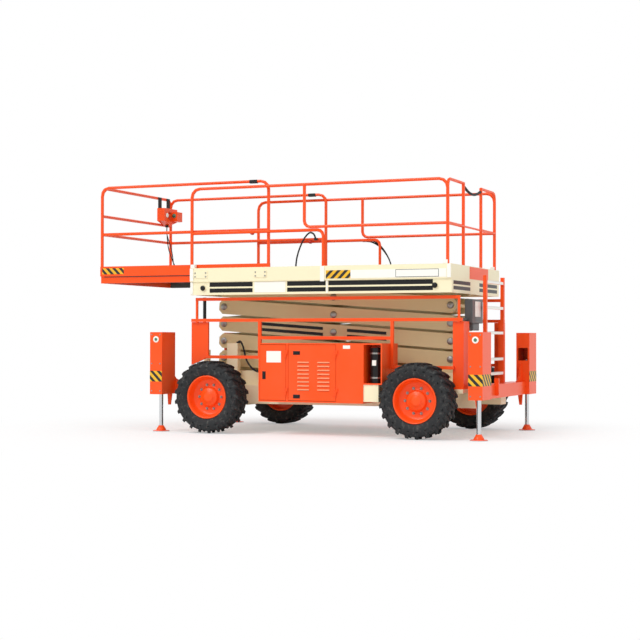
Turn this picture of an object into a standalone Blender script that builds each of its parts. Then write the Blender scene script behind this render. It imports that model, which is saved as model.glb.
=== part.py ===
"""A rough-terrain scissor lift with a roll-out deck, levelling jacks and a five-level scissor stack.

Metres, +Z up.  X runs along the machine (the ladder end is +X), Y across it (the engine side is -Y).
Every size below is measured from the middle of the wheelbase at ground level; the empty called
"machine" then shifts the whole thing so that the origin is the middle of its outer box.
"""
from math import asin, atan2, cos, hypot, pi, radians, sin, tan

import bmesh
import bpy
from mathutils import Matrix, Vector

# ---------------------------------------------------------------- driving dimensions (metres)
SEAT_GAP = 0.0003        # between two faces that rest on each other, and round a pin in its hole
PIN_SIDES = 12           # flats on a round bar that turns or slides
ARM_PIN_SIDES = 8        # and on the pins of the scissor stack

TYRE_RADIUS = 0.420
TYRE_WIDTH = 0.310
TYRE_OUTER_Y = 1.170     # outer wall of the tyres
AXLE_X = 1.270           # half the wheelbase
RIM_RADIUS = 0.250
WHEEL_STEPS = 20
SPINDLE_RADIUS = 0.032
KINGPIN_Y = 0.745
KINGPIN_RADIUS = 0.021
FORK_WEB_Y = 0.682         # outer face of the fork's web, clear of a turning knuckle
FORK_Z = ((0.300, 0.322), (0.518, 0.540))     # the two ears that hold a kingpin
AXLE_Z = (0.360, 0.480)
STEER_LIMIT = radians(30)

BEAM_IN_Y = 0.400        # chassis side beams, inner and outer faces
BEAM_OUT_Y = 0.600
BEAM_LOW_Z = 0.330
BEAM_TOP_Z = 0.545
BEAM_END_X = 1.800

LEVELS = 5               # crossed pairs in the scissor stack
ARM_REACH = 2.870        # end pin to end pin
BASE_PIN_Z = 0.660
PIN_RISE = 0.205         # from pin to pin above it, folded
ARM_HEIGHT = 0.175
ARM_END = 0.065          # arm past its end pin
PIN_RADIUS = 0.025
OUTER_ARM_Y = (0.300, 0.380)
INNER_ARM_Y = (0.220, 0.290)
PIN_HEAD_Y = 0.392
BRACKET_Y = (0.400, 0.430)
ROLLER_Y = (0.405, 0.440)
ROLLER_RADIUS = 0.040
TRACK_OUT_Y = 0.465
TRACK_X = (-1.520, -0.200)
LIFT_RANGE = radians(49)
TIE_TUBE_RADIUS = 0.030
TIE_TUBE_AT = 0.800      # from the arm's middle

CYLINDER_HALF_SPAN = ARM_REACH / 2 - 0.285   # barrel eye and rod eye, from their arms' middles
BARREL_EYE_LIFT = 0.050      # barrel pin above its arm's middle line
ROD_EYE_DROP = 0.060         # rod pin below its arm's middle line
ROD_TUBE_LIFT = 0.050        # tie tube above the rod pin's arm's middle line
BARREL_RADIUS = 0.055
ROD_RADIUS = 0.030

DECK_X = (-1.600, 1.620)
DECK_OUT_Y = 0.935
DECK_LOW_Z = 1.605
DECK_STEP_Z = 1.760      # where the lower beam meets the upper sill
SILL_TOP_Z = 1.921
SILL_WALL = 0.060
FLOOR_Z = (1.805, 1.820)
FLOOR_HALF_Y = 0.790

EXT_X = (-2.875, -0.600)
EXT_LOW_Z = 1.763
EXT_FLOOR_Z = (1.846, 1.862)
EXT_TOE_Z = 1.967
EXT_OUT_Y = 0.865
EXT_TRAVEL = 1.200

RAIL_RADIUS = 0.019
# A rail that ends in another is a hair thinner, so that no two of their faces lie on one surface.
BRANCH_RADIUS = RAIL_RADIUS * 0.98
LOWER_BRANCH_RADIUS = RAIL_RADIUS * 0.97
MID_RADIUS = RAIL_RADIUS * 0.96
END_MID_RADIUS = RAIL_RADIUS * 0.94
RAIL_SIDES = 6
RAIL_Y = 0.905
RAIL_X = (-1.591, 1.570)
RAIL_TOP_Z = 2.855
RAIL_MID_Z = 2.369
RAIL_LOW_MID_Z = 2.332
RAIL_SPLIT_X = (-0.143, 0.090)   # upper loop's post, lower loop's post
GATE_Y = 0.340
EXT_RAIL_Y = 0.851
EXT_RAIL_X = (-2.856, -0.619)
EXT_RAIL_TOP_Z = 2.922
EXT_RAIL_MID_Z = 2.356
EXT_RAIL_EXTRA_Z = 2.580
RAIL_BEND = 0.100

JACK_X = 1.950
JACK_Y = 0.990
HOUSING_HALF_X = 0.080
HOUSING_Y = (0.800, 1.120)
HOUSING_Z = (0.440, 1.170)
HOUSING_WALL = 0.010
JACK_ROD_RADIUS = 0.025
JACK_ROD_TOP_Z = 0.850
JACK_BEAM_X = (1.800, 1.980)
JACK_BEAM_TOP_Z = 0.590
JACK_DOWN = 0.150
JACK_UP = 0.300

BOX_X = (-0.625, 0.878)
BOX_Z = (0.380, 1.045)
BOX_OUT_Y = 1.100
BOX_SHEET = 0.015
DOOR_SEAMS_X = (-0.268, 0.331)
RECESS_X = 0.655
TANK_END_X = 0.830
NICHE_LOW_Z = 0.590      # underside of the niche that holds the canister
NICHE_BACK_Y = 0.860
MULLION = 0.024          # post between the two doors
DOOR_GAP = 0.005
DOOR_THICK = 0.018
HINGE_RADIUS = 0.009
HINGE_PROUD = 0.0105     # hinge line outside the doors' faces
LOUVRE_X = ((-0.138, 0.003), (0.107, 0.253))
LOUVRE_Z = 0.512
LOUVRE_ROWS = 8
LOUVRE_PITCH = 0.044
LOUVRE_SLOT = 0.016

GUARD_Y = (0.820, 0.850)
GUARD_X = (-1.570, 1.690)
GUARD_BAR = 0.036
GUARD_TOP_Z = 1.575
GUARD_UPRIGHT_X = (-0.735, 0.900)
GUARD_MID_Z = 1.310
GUARD_CENTRE_Z = 1.105   # between the uprights
GUARD_LEFT_Z = 0.880     # past the front upright
GUARD_RIGHT_Z = 0.780    # past the rear upright
POST_LEFT_X = (-1.638, -1.418)
POST_RIGHT_X = (1.602, 1.727)
POST_TOP_Z = 1.290
POST_SKIN = 0.030

CONTROL_Y = (0.460, 0.800)
CABLE_FOOT_X = -2.580

LADDER_X = 1.830
LADDER_Y = 0.350
LADDER_TOP_Z = 1.810
LADDER_RUNGS_Z = (0.700, 0.865, 1.165, 1.450, 1.740)

# ---------------------------------------------------------------- sizes worked out from them
FOLD_ANGLE = asin(PIN_RISE / ARM_REACH)
PIN_X = ARM_REACH / 2 * cos(FOLD_ANGLE)    # pins at rest, each side of the middle
PAD_RADIUS, PAD_SIDES = 0.100, 24             # foot pad of a jack
BOX_MAX_X = JACK_X + PAD_RADIUS * cos(pi / PAD_SIDES)  # the pads reach furthest towards the ladder end
ORIGIN_X = (EXT_X[0] + BOX_MAX_X) / 2
TYRE_INNER_Y = TYRE_OUTER_Y - TYRE_WIDTH
WHEEL_Y = TYRE_OUTER_Y - TYRE_WIDTH / 2
SPINDLE_END_Y = WHEEL_Y + 0.055
DECK_PIN_Z = BASE_PIN_Z + LEVELS * PIN_RISE
BAR = GUARD_BAR / 2

# paint and metal: colour (linear), roughness, metallic
FINISHES = {
    "orange": ((1.0, 0.10, 0.013), 0.35, 0.0),
    "cream": ((0.93, 0.86, 0.60), 0.40, 0.0),
    "arm": ((0.55, 0.42, 0.20), 0.45, 0.0),
    "red": ((0.75, 0.04, 0.012), 0.40, 0.0),
    "black": ((0.01, 0.01, 0.012), 0.50, 0.0),
    "rubber": ((0.02, 0.02, 0.024), 0.85, 0.0),
    "chrome": ((0.60, 0.60, 0.62), 0.15, 1.0),
    "steel": ((0.30, 0.30, 0.32), 0.40, 1.0),
    }


# ---------------------------------------------------------------- shapes: each is (points, faces)
def box(x, y, z):
    """A block between the two ends of each range."""
    pts = [(a, b, c) for c in z for b in y for a in x]
    faces = [(0, 2, 3, 1), (4, 5, 7, 6), (0, 1, 5, 4), (1, 3, 7, 5), (3, 2, 6, 7), (2, 0, 4, 6)]
    return pts, faces


def prism(outline, axis, low, high):
    """An outline, counter-clockwise seen from +axis, drawn out from low to high along that axis."""
    place = {
        "x": lambda u, v, w: (w, u, v),
        "y": lambda u, v, w: (v, w, u),
        "z": lambda u, v, w: (u, v, w),
    }[axis]
    n = len(outline)
    pts = [place(u, v, low) for u, v in outline] + [place(u, v, high) for u, v in outline]
    faces = [tuple(reversed(range(n))), tuple(range(n, 2 * n))]
    faces += [(i, (i + 1) % n, n + (i + 1) % n, n + i) for i in range(n)]
    return pts, faces


def plate_xz(outline, y):
    """An outline of (x, z) points, clockwise seen from -Y, as a plate across the y range."""
    return prism([(z, x) for x, z in outline], "y", y[0], y[1])


def frame_at(direction):
    """Two directions square to this one."""
    along = Vector(direction).normalized()
    side = along.cross(Vector((0, 0, 1)))
    if side.length < 1e-3:
        side = along.cross(Vector((0, 1, 0)))
    side.normalize()
    return along, side, side.cross(along)


def tube(points, radius, sides=RAIL_SIDES, phase=0.5):
    """A round bar along the points, mitred at each corner and closed at its ends."""
    points = [Vector(p) for p in points]
    _, side, up = frame_at(points[1] - points[0])
    rings = []
    for i, point in enumerate(points):
        before = (point - points[i - 1]).normalized() if i else None
        after = (points[i + 1] - point).normalized() if i + 1 < len(points) else None
        if before and after:
            turn = before.rotation_difference(after)
            half = turn.copy()
            half.angle = turn.angle / 2
            mid = (before + after).normalized()
            stretch = 1 / max(before.dot(mid), 0.2)
            axis = before.cross(after)
            across_side, across_up = half @ side, half @ up
            if axis.length > 1e-6:
                out = axis.normalized().cross(mid)
                across_side = across_side + out * across_side.dot(out) * (stretch - 1)
                across_up = across_up + out * across_up.dot(out) * (stretch - 1)
            rings.append((point, across_side, across_up))
            side, up = turn @ side, turn @ up
        else:
            rings.append((point, side, up))
    pts = []
    for point, a, b in rings:
        for k in range(sides):
            turn_angle = 2 * pi * (k + phase) / sides
            pts.append(tuple(point + a * radius * cos(turn_angle) + b * radius * sin(turn_angle)))
    faces = [tuple(range(sides)), tuple(reversed(range(len(pts) - sides, len(pts))))]
    for i in range(len(points) - 1):
        for k in range(sides):
            a, b = i * sides + k, i * sides + (k + 1) % sides
            faces.append((a, a + sides, b + sides, b))
    return pts, faces


def rounded(corners, radius, steps=3):
    """The points of a path through these corners, each inner corner rounded to this radius."""
    corners = [Vector(c) for c in corners]
    path = [corners[0]]
    for before, corner, after in zip(corners, corners[1:], corners[2:]):
        a, b = (before - corner).normalized(), (after - corner).normalized()
        half = a.angle(b) / 2
        run = radius / tan(half)
        centre = corner + (a + b).normalized() * radius / sin(half)
        start, end = corner + a * run - centre, corner + b * run - centre
        sweep = start.rotation_difference(end)
        for i in range(steps + 1):
            part = sweep.copy()
            part.angle = sweep.angle * i / steps
            path.append(centre + part @ start)
    path.append(corners[-1])
    return path


def rod(start, end, radius, sides=PIN_SIDES):
    """A straight round bar."""
    return tube([start, end], radius, sides)


def hole_radius(radius, sides=PIN_SIDES):
    """The corner radius of a hole in which a bar of this radius just turns."""
    return (radius + SEAT_GAP) / cos(pi / sides)


def hole(start, end, radius, sides=PIN_SIDES):
    """The cutter for a bar of this radius, its flats where the bar has its corners."""
    return tube([start, end], hole_radius(radius, sides), sides, phase=0.0)


def turned(profile, centre, steps):
    """A ring turned about the Y line through centre, from (radius, y) points in a closed loop
    that runs clockwise with the radius up and y to the right."""
    pts, faces = [], []
    n = len(profile)
    for s in range(steps):
        angle = 2 * pi * s / steps
        for radius, y in profile:
            pts.append((centre[0] + radius * cos(angle), y, centre[2] + radius * sin(angle)))
    for s in range(steps):
        t = (s + 1) % steps
        for i in range(n):
            j = (i + 1) % n
            faces.append((s * n + i, s * n + j, t * n + j, t * n + i))
    return pts, faces


def flip_y(shape):
    """The same shape on the other side of the machine."""
    pts, faces = shape
    return [(x, -y, z) for x, y, z in pts], [tuple(reversed(f)) for f in faces]


def flip_x(shape):
    """The same shape at the other end of the machine."""
    pts, faces = shape
    return [(-x, y, z) for x, y, z in pts], [tuple(reversed(f)) for f in faces]


def moved(shape, matrix):
    """The shape turned and shifted."""
    pts, faces = shape
    return [tuple(matrix @ Vector(p)) for p in pts], faces


def both_sides(*shapes):
    """These shapes and their mirror images across the machine."""
    return [s for shape in shapes for s in (shape, flip_y(shape))]


# ---------------------------------------------------------------- solids
def finish(name):
    """The material of this name, made once."""
    material = bpy.data.materials.get(name)
    if material:
        return material
    colour, roughness, metallic = FINISHES[name]
    material = bpy.data.materials.new(name)
    material.use_nodes = True
    shader = material.node_tree.nodes["Principled BSDF"]
    shader.inputs["Base Color"].default_value = (*colour, 1)
    shader.inputs["Roughness"].default_value = roughness
    shader.inputs["Metallic"].default_value = metallic
    return material


def as_object(name, shape):
    """One object from (points, faces), its faces turned outwards."""
    mesh = bpy.data.meshes.new(name)
    mesh.from_pydata([tuple(p) for p in shape[0]], [], shape[1])
    bm = bmesh.new()
    bm.from_mesh(mesh)
    bmesh.ops.recalc_face_normals(bm, faces=bm.faces)
    bm.to_mesh(mesh)
    bm.free()
    obj = bpy.data.objects.new(name, mesh)
    bpy.context.scene.collection.objects.link(obj)
    return obj


def boolean(base, shapes, operation):
    """Joins the shapes to the base object, or cuts them out of it, with the exact solver."""
    if not shapes:
        return
    group = bpy.data.collections.new(base.name + "_pieces")
    pieces = []
    for i, shape in enumerate(shapes):
        piece = as_object(base.name + "_piece", shape)
        bpy.context.scene.collection.objects.unlink(piece)
        group.objects.link(piece)
        pieces.append(piece)
    modifier = base.modifiers.new(operation, "BOOLEAN")
    modifier.operation = operation
    modifier.solver = "EXACT"
    modifier.operand_type = "COLLECTION"
    modifier.collection = group
    modifier.use_hole_tolerant = False
    graph = bpy.context.evaluated_depsgraph_get()
    mesh = bpy.data.meshes.new_from_object(base.evaluated_get(graph))
    base.modifiers.clear()
    base.data = mesh
    for piece in pieces:
        bpy.data.objects.remove(piece)
    bpy.data.collections.remove(group)


def solid(name, paint, adds, cuts=()):
    """One named part: its pieces welded into one solid, then its holes cut."""
    obj = as_object(name, adds[0])
    boolean(obj, list(adds[1:]), "UNION")
    boolean(obj, list(cuts), "DIFFERENCE")
    bm = bmesh.new()
    bm.from_mesh(obj.data)
    bmesh.ops.remove_doubles(bm, verts=bm.verts, dist=2e-6)
    bmesh.ops.dissolve_degenerate(bm, edges=bm.edges, dist=2e-6)
    bm.to_mesh(obj.data)
    bm.free()
    obj.data.name = name
    obj.data.materials.clear()
    obj.data.materials.append(finish(paint))
    obj.data.shade_smooth()
    obj.data.set_sharp_from_angle(angle=radians(35))
    obj.parent = bpy.data.objects["machine"]
    return obj


# ---------------------------------------------------------------- wheels and axles
# place, direction along X, sign of Y
WHEELS = (("front_near", -1, -1), ("front_far", -1, 1), ("rear_near", 1, -1), ("rear_far", 1, 1))


def on_side(shapes, side):
    """Shapes drawn on the +Y side, put on the side that is asked for."""
    return [s if side > 0 else flip_y(s) for s in shapes]


def make_wheel(place, end, side):
    """A tyre and its deep-dished rim, each one turned solid."""
    centre = (end * AXLE_X, 0, TYRE_RADIUS)
    inn, out = TYRE_INNER_Y, TYRE_OUTER_Y
    bead = RIM_RADIUS + SEAT_GAP
    tyre = [(bead, inn + 0.03), (0.33, inn), (TYRE_RADIUS, inn + 0.05),
            (TYRE_RADIUS, out - 0.05), (0.33, out), (bead, out - 0.03)]
    solid("tyre_" + place, "rubber", on_side([turned(tyre, centre, WHEEL_STEPS)], side))
    hub_bore = hole_radius(SPINDLE_RADIUS, WHEEL_STEPS)
    rim = [(RIM_RADIUS, inn + 0.035), (RIM_RADIUS, out - 0.022), (0.236, out - 0.022),
           (0.205, WHEEL_Y + 0.035), (0.12, WHEEL_Y + 0.02), (0.10, WHEEL_Y + 0.07),
           (hub_bore, WHEEL_Y + 0.07), (hub_bore, WHEEL_Y - 0.10), (0.10, WHEEL_Y - 0.10),
           (0.12, WHEEL_Y), (0.235, WHEEL_Y), (0.235, inn + 0.035)]
    cap = rod((centre[0], WHEEL_Y + 0.06, centre[2]), (centre[0], WHEEL_Y + 0.078, centre[2]), 0.055)
    solid("rim_" + place, "orange", on_side([turned(rim, centre, WHEEL_STEPS), cap], side))


def make_axles():
    """The steered axle with a fork at each end, and the fixed one with its spindles."""
    x = -AXLE_X
    ears = [box((x - 0.05, x + 0.05), (0.655, 0.790), z) for z in FORK_Z]
    end_block = box((x - 0.05, x + 0.05), (0.655, FORK_WEB_Y), (FORK_Z[0][0], FORK_Z[1][1]))
    beam = box((x - 0.06, x + 0.06), (-0.66, 0.66), AXLE_Z)
    gear = rod((x, -0.13, TYRE_RADIUS), (x, 0.13, TYRE_RADIUS), 0.135, 12)
    holes = [hole((x, KINGPIN_Y, z[0] - 0.01), (x, KINGPIN_Y, z[1] + 0.01), KINGPIN_RADIUS) for z in FORK_Z]
    solid("front_axle", "cream", [beam, gear] + both_sides(end_block, *ears), both_sides(*holes))

    x = AXLE_X
    beam = box((x - 0.06, x + 0.06), (-0.80, 0.80), AXLE_Z)
    gear = rod((x, -0.13, TYRE_RADIUS), (x, 0.13, TYRE_RADIUS), 0.135, 12)
    flange = rod((x, 0.79, TYRE_RADIUS), (x, 0.835, TYRE_RADIUS), 0.09, 12)
    spindle = rod((x, 0.80, TYRE_RADIUS), (x, SPINDLE_END_Y, TYRE_RADIUS), SPINDLE_RADIUS)
    solid("rear_axle", "cream", [beam, gear] + both_sides(flange, spindle))


def make_knuckle(place, side):
    """The upright that turns on the kingpin and carries the front wheel's spindle."""
    x = -AXLE_X
    low, high = FORK_Z[0][1] + SEAT_GAP, FORK_Z[1][0] - SEAT_GAP
    block = box((x - 0.045, x + 0.045), (0.705, 0.800), (low, high))
    pin = rod((x, KINGPIN_Y, FORK_Z[0][0] + 0.004), (x, KINGPIN_Y, FORK_Z[1][1] - 0.004), KINGPIN_RADIUS)
    flange = rod((x, 0.79, TYRE_RADIUS), (x, 0.835, TYRE_RADIUS), 0.09, 12)
    spindle = rod((x, 0.80, TYRE_RADIUS), (x, SPINDLE_END_Y, TYRE_RADIUS), SPINDLE_RADIUS)
    solid("steer_knuckle_" + place, "steel", on_side([block, pin, flange, spindle], side))


# ---------------------------------------------------------------- chassis
def make_chassis():
    """Two side beams, cross members, the scissor's fixed pin brackets and its roller tracks."""
    beam = box((-BEAM_END_X + SEAT_GAP, BEAM_END_X - SEAT_GAP), (BEAM_IN_Y, BEAM_OUT_Y),
               (BEAM_LOW_Z, BEAM_TOP_Z))
    adds = both_sides(beam)
    for x in (-1.62, -0.55, 0.55, 1.62):
        adds.append(box((x - 0.05, x + 0.05), (-BEAM_IN_Y - 0.01, BEAM_IN_Y + 0.01), (0.40, 0.52)))
    bracket = box((PIN_X - 0.07, PIN_X + 0.07), BRACKET_Y, (BEAM_TOP_Z - 0.01, BASE_PIN_Z + 0.055))
    floor_z = BASE_PIN_Z - ROLLER_RADIUS - 0.0005
    roof_z = BASE_PIN_Z + ROLLER_RADIUS + 0.0005
    low_flange = box(TRACK_X, (BRACKET_Y[0], TRACK_OUT_Y), (BEAM_TOP_Z - 0.01, floor_z))
    web = box(TRACK_X, (ROLLER_Y[1] + 0.01, TRACK_OUT_Y), (BEAM_TOP_Z - 0.01, roof_z + 0.015))
    high_flange = box(TRACK_X, (BRACKET_Y[0], TRACK_OUT_Y), (roof_z, roof_z + 0.015))
    outrigger = box(POST_RIGHT_X, (BEAM_OUT_Y - 0.01, GUARD_Y[1]), (0.50, BEAM_TOP_Z))
    leg = box((-1.60, -1.54), (0.52, 0.58), (BEAM_TOP_Z - 0.01, 0.96))
    arm = box((-1.60, -1.54), (0.52, GUARD_Y[0] - POST_SKIN - SEAT_GAP), (0.90, 0.96))
    upright = box((-1.30, -1.16), (0.48, 0.56), (BEAM_TOP_Z - 0.01, 1.04))
    adds += both_sides(bracket, low_flange, web, high_flange, outrigger, leg, arm, upright)
    pin_hole = hole((PIN_X, 0.39, BASE_PIN_Z), (PIN_X, 0.44, BASE_PIN_Z), PIN_RADIUS, ARM_PIN_SIDES)
    notches = []
    for end in (-1, 1):
        x = end * AXLE_X
        notches.append(box((x - 0.075, x + 0.075), (0.35, 0.65), (0.30, AXLE_Z[1] + SEAT_GAP)))
    solid("chassis_frame", "cream", adds, both_sides(pin_hole, *notches))


def make_guard(place, side):
    """The guard rails beside the stack, with a folded corner post at each end."""
    low, high = GUARD_Y
    mid = (low + high) / 2
    y = (low, high)
    front_x, rear_x = GUARD_UPRIGHT_X
    # ends along the machine, middle height of each level bar
    bars = [box(x, y, (z - BAR, z + BAR)) for x, z in (
        (GUARD_X, GUARD_TOP_Z - BAR),
        ((POST_LEFT_X[0] + 0.01, POST_RIGHT_X[1] - 0.01), GUARD_MID_Z),
        ((front_x, rear_x), GUARD_CENTRE_Z),
        ((POST_LEFT_X[1] - 0.02, front_x), GUARD_LEFT_Z),
        ((rear_x, POST_RIGHT_X[0] + 0.02), GUARD_RIGHT_Z))]
    for x, z0 in ((front_x, GUARD_LEFT_Z - BAR), (rear_x, GUARD_RIGHT_Z - BAR)):
        bars.append(box((x - BAR, x + BAR), y, (z0, GUARD_MID_Z)))
    for x in (GUARD_X[0] + 0.012, GUARD_X[1] - 0.012):
        bars.append(box((x - 0.012, x + 0.012), (mid - 0.012, mid + 0.012),
                        (POST_TOP_Z - 0.01, GUARD_TOP_Z - 0.01)))
    skin = (low - POST_SKIN, low + 0.002)
    left_post = plate_xz([(POST_LEFT_X[0], 0.785), (POST_LEFT_X[0], POST_TOP_Z),
                          (POST_LEFT_X[1], POST_TOP_Z), (POST_LEFT_X[1], 0.875)], skin)
    right_post = box(POST_RIGHT_X, skin, (BEAM_TOP_Z + SEAT_GAP, POST_TOP_Z))
    right_leg = box((POST_RIGHT_X[1] - 0.03, POST_RIGHT_X[1]), (0.62, low),
                    (BEAM_TOP_Z + SEAT_GAP, POST_TOP_Z))
    solid("guard_rail_" + place, "red", on_side(bars + [left_post, right_post, right_leg], side))


# ---------------------------------------------------------------- scissor stack
def arm_outline():
    """An arm's side outline about its middle, (along, up), clockwise seen from -Y."""
    end = ARM_REACH / 2 + ARM_END
    half, cut = ARM_HEIGHT / 2, 0.045
    return [(-end, -half + cut), (-end, half - cut), (-end + cut, half), (end - cut, half),
            (end, half - cut), (end, -half + cut), (end - cut, -half), (-end + cut, -half)]


def arm_place(level, rising):
    """Where an arm's middle lies at rest; a rising arm runs up to +X."""
    middle_z = BASE_PIN_Z + (level - 0.5) * PIN_RISE
    tilt = -FOLD_ANGLE if rising else FOLD_ANGLE
    return Matrix.Translation((0, 0, middle_z)) @ Matrix.Rotation(tilt, 4, "Y")


def cross_shaft(along, half_y, radius=PIN_RADIUS, up=0.0):
    """A round bar across the machine at a place on the arm."""
    return rod((along, -half_y, up), (along, half_y, up), radius, ARM_PIN_SIDES)


def make_outer_arms(level):
    """A pair of outer arms, which fall to +X, tied by the pins they carry."""
    reach = ARM_REACH / 2
    low_half = BRACKET_Y[1] - 0.005 if level == 1 else PIN_HEAD_Y
    high_half = ROLLER_Y[1] if level == LEVELS else PIN_HEAD_Y
    adds = both_sides(plate_xz(arm_outline(), OUTER_ARM_Y))
    adds += [cross_shaft(reach, low_half), cross_shaft(0, PIN_HEAD_Y), cross_shaft(-reach, high_half)]
    if level == LEVELS:
        adds += both_sides(rod((-reach, ROLLER_Y[0], 0), (-reach, ROLLER_Y[1], 0), ROLLER_RADIUS))
    place = arm_place(level, rising=False)
    solid("outer_arms_%d" % level, "arm", [moved(s, place) for s in adds])


def make_inner_arms(level):
    """A pair of inner arms, which rise to +X, tied by two cross tubes."""
    reach = ARM_REACH / 2
    adds = both_sides(plate_xz(arm_outline(), INNER_ARM_Y))
    half = INNER_ARM_Y[0] + 0.01
    # level: (place along the arm, height above its middle line) of each tie tube
    ties = {1: ((-CYLINDER_HALF_SPAN, BARREL_EYE_LIFT), (TIE_TUBE_AT, 0)),
            2: ((CYLINDER_HALF_SPAN, ROD_TUBE_LIFT), (-TIE_TUBE_AT, 0))}
    for along, up in ties.get(level, ((-TIE_TUBE_AT, 0), (TIE_TUBE_AT, 0))):
        adds.append(cross_shaft(along, half, TIE_TUBE_RADIUS, up))
    if level == 2:
        half_ear, bevel = 0.045, 0.025
        # the ear spans from the tie tube down to the rod's pin, so its middle is between them
        middle = (ROD_TUBE_LIFT - ROD_EYE_DROP) / 2
        low, high = middle - half_ear - 0.055, middle + half_ear + 0.055
        ear = [(-half_ear, low), (-half_ear, high - bevel), (-half_ear + bevel, high),
               (half_ear - bevel, high), (half_ear, high - bevel), (half_ear, low)]
        ear = [(CYLINDER_HALF_SPAN + u, v) for u, v in ear]
        adds += both_sides(plate_xz(ear, (0.045, 0.060)))
    holes = [0.0]
    if level == 1:
        adds += [cross_shaft(-reach, ROLLER_Y[1])]
        adds += both_sides(rod((-reach, ROLLER_Y[0], 0), (-reach, ROLLER_Y[1], 0), ROLLER_RADIUS))
    else:
        holes.append(-reach)
    if level == LEVELS:
        adds.append(cross_shaft(reach, BRACKET_Y[1] - 0.005))
    else:
        holes.append(reach)
    place = arm_place(level, rising=True)
    cuts = [hole((h, -0.5, 0), (h, 0.5, 0), PIN_RADIUS, ARM_PIN_SIDES) for h in holes]
    solid("inner_arms_%d" % level, "arm", [moved(s, place) for s in adds], [moved(s, place) for s in cuts])


def cylinder_at(angle):
    """The lift cylinder's two pins in the XZ plane when the arms stand at this angle."""
    span, rise = CYLINDER_HALF_SPAN, ARM_REACH * sin(angle)
    mid_x = PIN_X - ARM_REACH / 2 * cos(angle)
    mid_z = BASE_PIN_Z + rise / 2
    low = (mid_x - span * cos(angle) - BARREL_EYE_LIFT * sin(angle),
           mid_z - span * sin(angle) + BARREL_EYE_LIFT * cos(angle))
    high = (mid_x + span * cos(angle) + ROD_EYE_DROP * sin(angle),
            mid_z + rise + span * sin(angle) - ROD_EYE_DROP * cos(angle))
    return low, high


def cylinder_length_and_tilt(angle):
    """The lift cylinder's length between its pins, and its tilt above the level."""
    low, high = cylinder_at(angle)
    return hypot(high[0] - low[0], high[1] - low[1]), atan2(high[1] - low[1], high[0] - low[0])


def make_lift_cylinder():
    """The barrel on the lowest inner arms and the rod that pushes the next pair."""
    (x, z), _ = cylinder_at(FOLD_ANGLE)
    length, tilt = cylinder_length_and_tilt(FOLD_ANGLE)
    place = Matrix.Translation((x, 0, z)) @ Matrix.Rotation(-tilt, 4, "Y")
    mouth = length - 0.100
    barrel = [rod((0.045, 0, 0), (mouth, 0, 0), BARREL_RADIUS), rod((0, -0.05, 0), (0, 0.05, 0), 0.050)]
    bore = [hole((0.075, 0, 0), (mouth + 0.01, 0, 0), ROD_RADIUS),
            hole((0, -0.06, 0), (0, 0.06, 0), TIE_TUBE_RADIUS, ARM_PIN_SIDES)]
    solid("lift_barrel", "black", [moved(s, place) for s in barrel], [moved(s, place) for s in bore])
    ram = [rod((0.085, 0, 0), (length - 0.02, 0, 0), ROD_RADIUS),
           rod((length, -0.0425, 0), (length, 0.0425, 0), 0.035)]
    solid("lift_rod", "chrome", [moved(s, place) for s in ram])


# ---------------------------------------------------------------- deck
def make_deck():
    """The main deck: side beams, floor, bearers, and the stack's upper brackets and tracks."""
    sill_in = DECK_OUT_Y - SILL_WALL
    side = box(DECK_X, (sill_in, DECK_OUT_Y - 0.015), (DECK_LOW_Z, SILL_TOP_Z - 0.01))
    upper = box(DECK_X, (sill_in, DECK_OUT_Y), (DECK_STEP_Z, SILL_TOP_Z))
    end_x = DECK_X[1]
    ends = [box((end_x - 0.04, end_x), (-DECK_OUT_Y, DECK_OUT_Y), (DECK_STEP_Z, SILL_TOP_Z)),
            box((end_x - 0.04, end_x), (-DECK_OUT_Y + 0.015, DECK_OUT_Y - 0.015),
                (DECK_LOW_Z, DECK_STEP_Z + 0.01)),
            box((DECK_X[0], DECK_X[0] + 0.04), (-DECK_OUT_Y + 0.015, DECK_OUT_Y - 0.015),
                (DECK_LOW_Z, 1.755))]
    floor = box((DECK_X[0] + 0.02, DECK_X[1] - 0.02), (-FLOOR_HALF_Y, FLOOR_HALF_Y), FLOOR_Z)
    long_beam = box((DECK_X[0] + 0.02, DECK_X[1] - 0.02), (BEAM_IN_Y, BEAM_OUT_Y),
                    (DECK_PIN_Z + ROLLER_RADIUS + 0.0005, FLOOR_Z[0] + 0.005))
    adds = ends + [floor] + both_sides(side, upper, long_beam)
    for x in (-0.70, 0.30, 1.20):
        adds += both_sides(box((x - 0.03, x + 0.03), (BEAM_OUT_Y - 0.02, sill_in + 0.01), (1.70, 1.755)))
    for x in (-1.58, -0.70):
        pad = box((x - 0.018, x + 0.018), (0.80, 0.86), (1.75, EXT_LOW_Z - SEAT_GAP))
        adds += both_sides(pad)
    low_z = DECK_PIN_Z - ROLLER_RADIUS - 0.0005
    web = box(TRACK_X, (ROLLER_Y[1] + 0.01, TRACK_OUT_Y), (low_z - 0.015, DECK_PIN_Z + 0.05))
    flange = box(TRACK_X, (BRACKET_Y[0], TRACK_OUT_Y), (low_z - 0.015, low_z))
    bracket = box((PIN_X - 0.06, PIN_X + 0.06), BRACKET_Y, (DECK_PIN_Z - 0.055, DECK_PIN_Z + 0.05))
    adds += both_sides(web, flange, bracket)
    pin_hole = hole((PIN_X, 0.39, DECK_PIN_Z), (PIN_X, 0.44, DECK_PIN_Z), PIN_RADIUS, ARM_PIN_SIDES)
    boss = [rod((x, DECK_OUT_Y - 0.03, DECK_PIN_Z), (x, DECK_OUT_Y, DECK_PIN_Z), 0.028)
            for x in (-PIN_X, PIN_X)]
    adds += both_sides(*boss)
    solid("deck", "cream", adds, both_sides(pin_hole))


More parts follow.
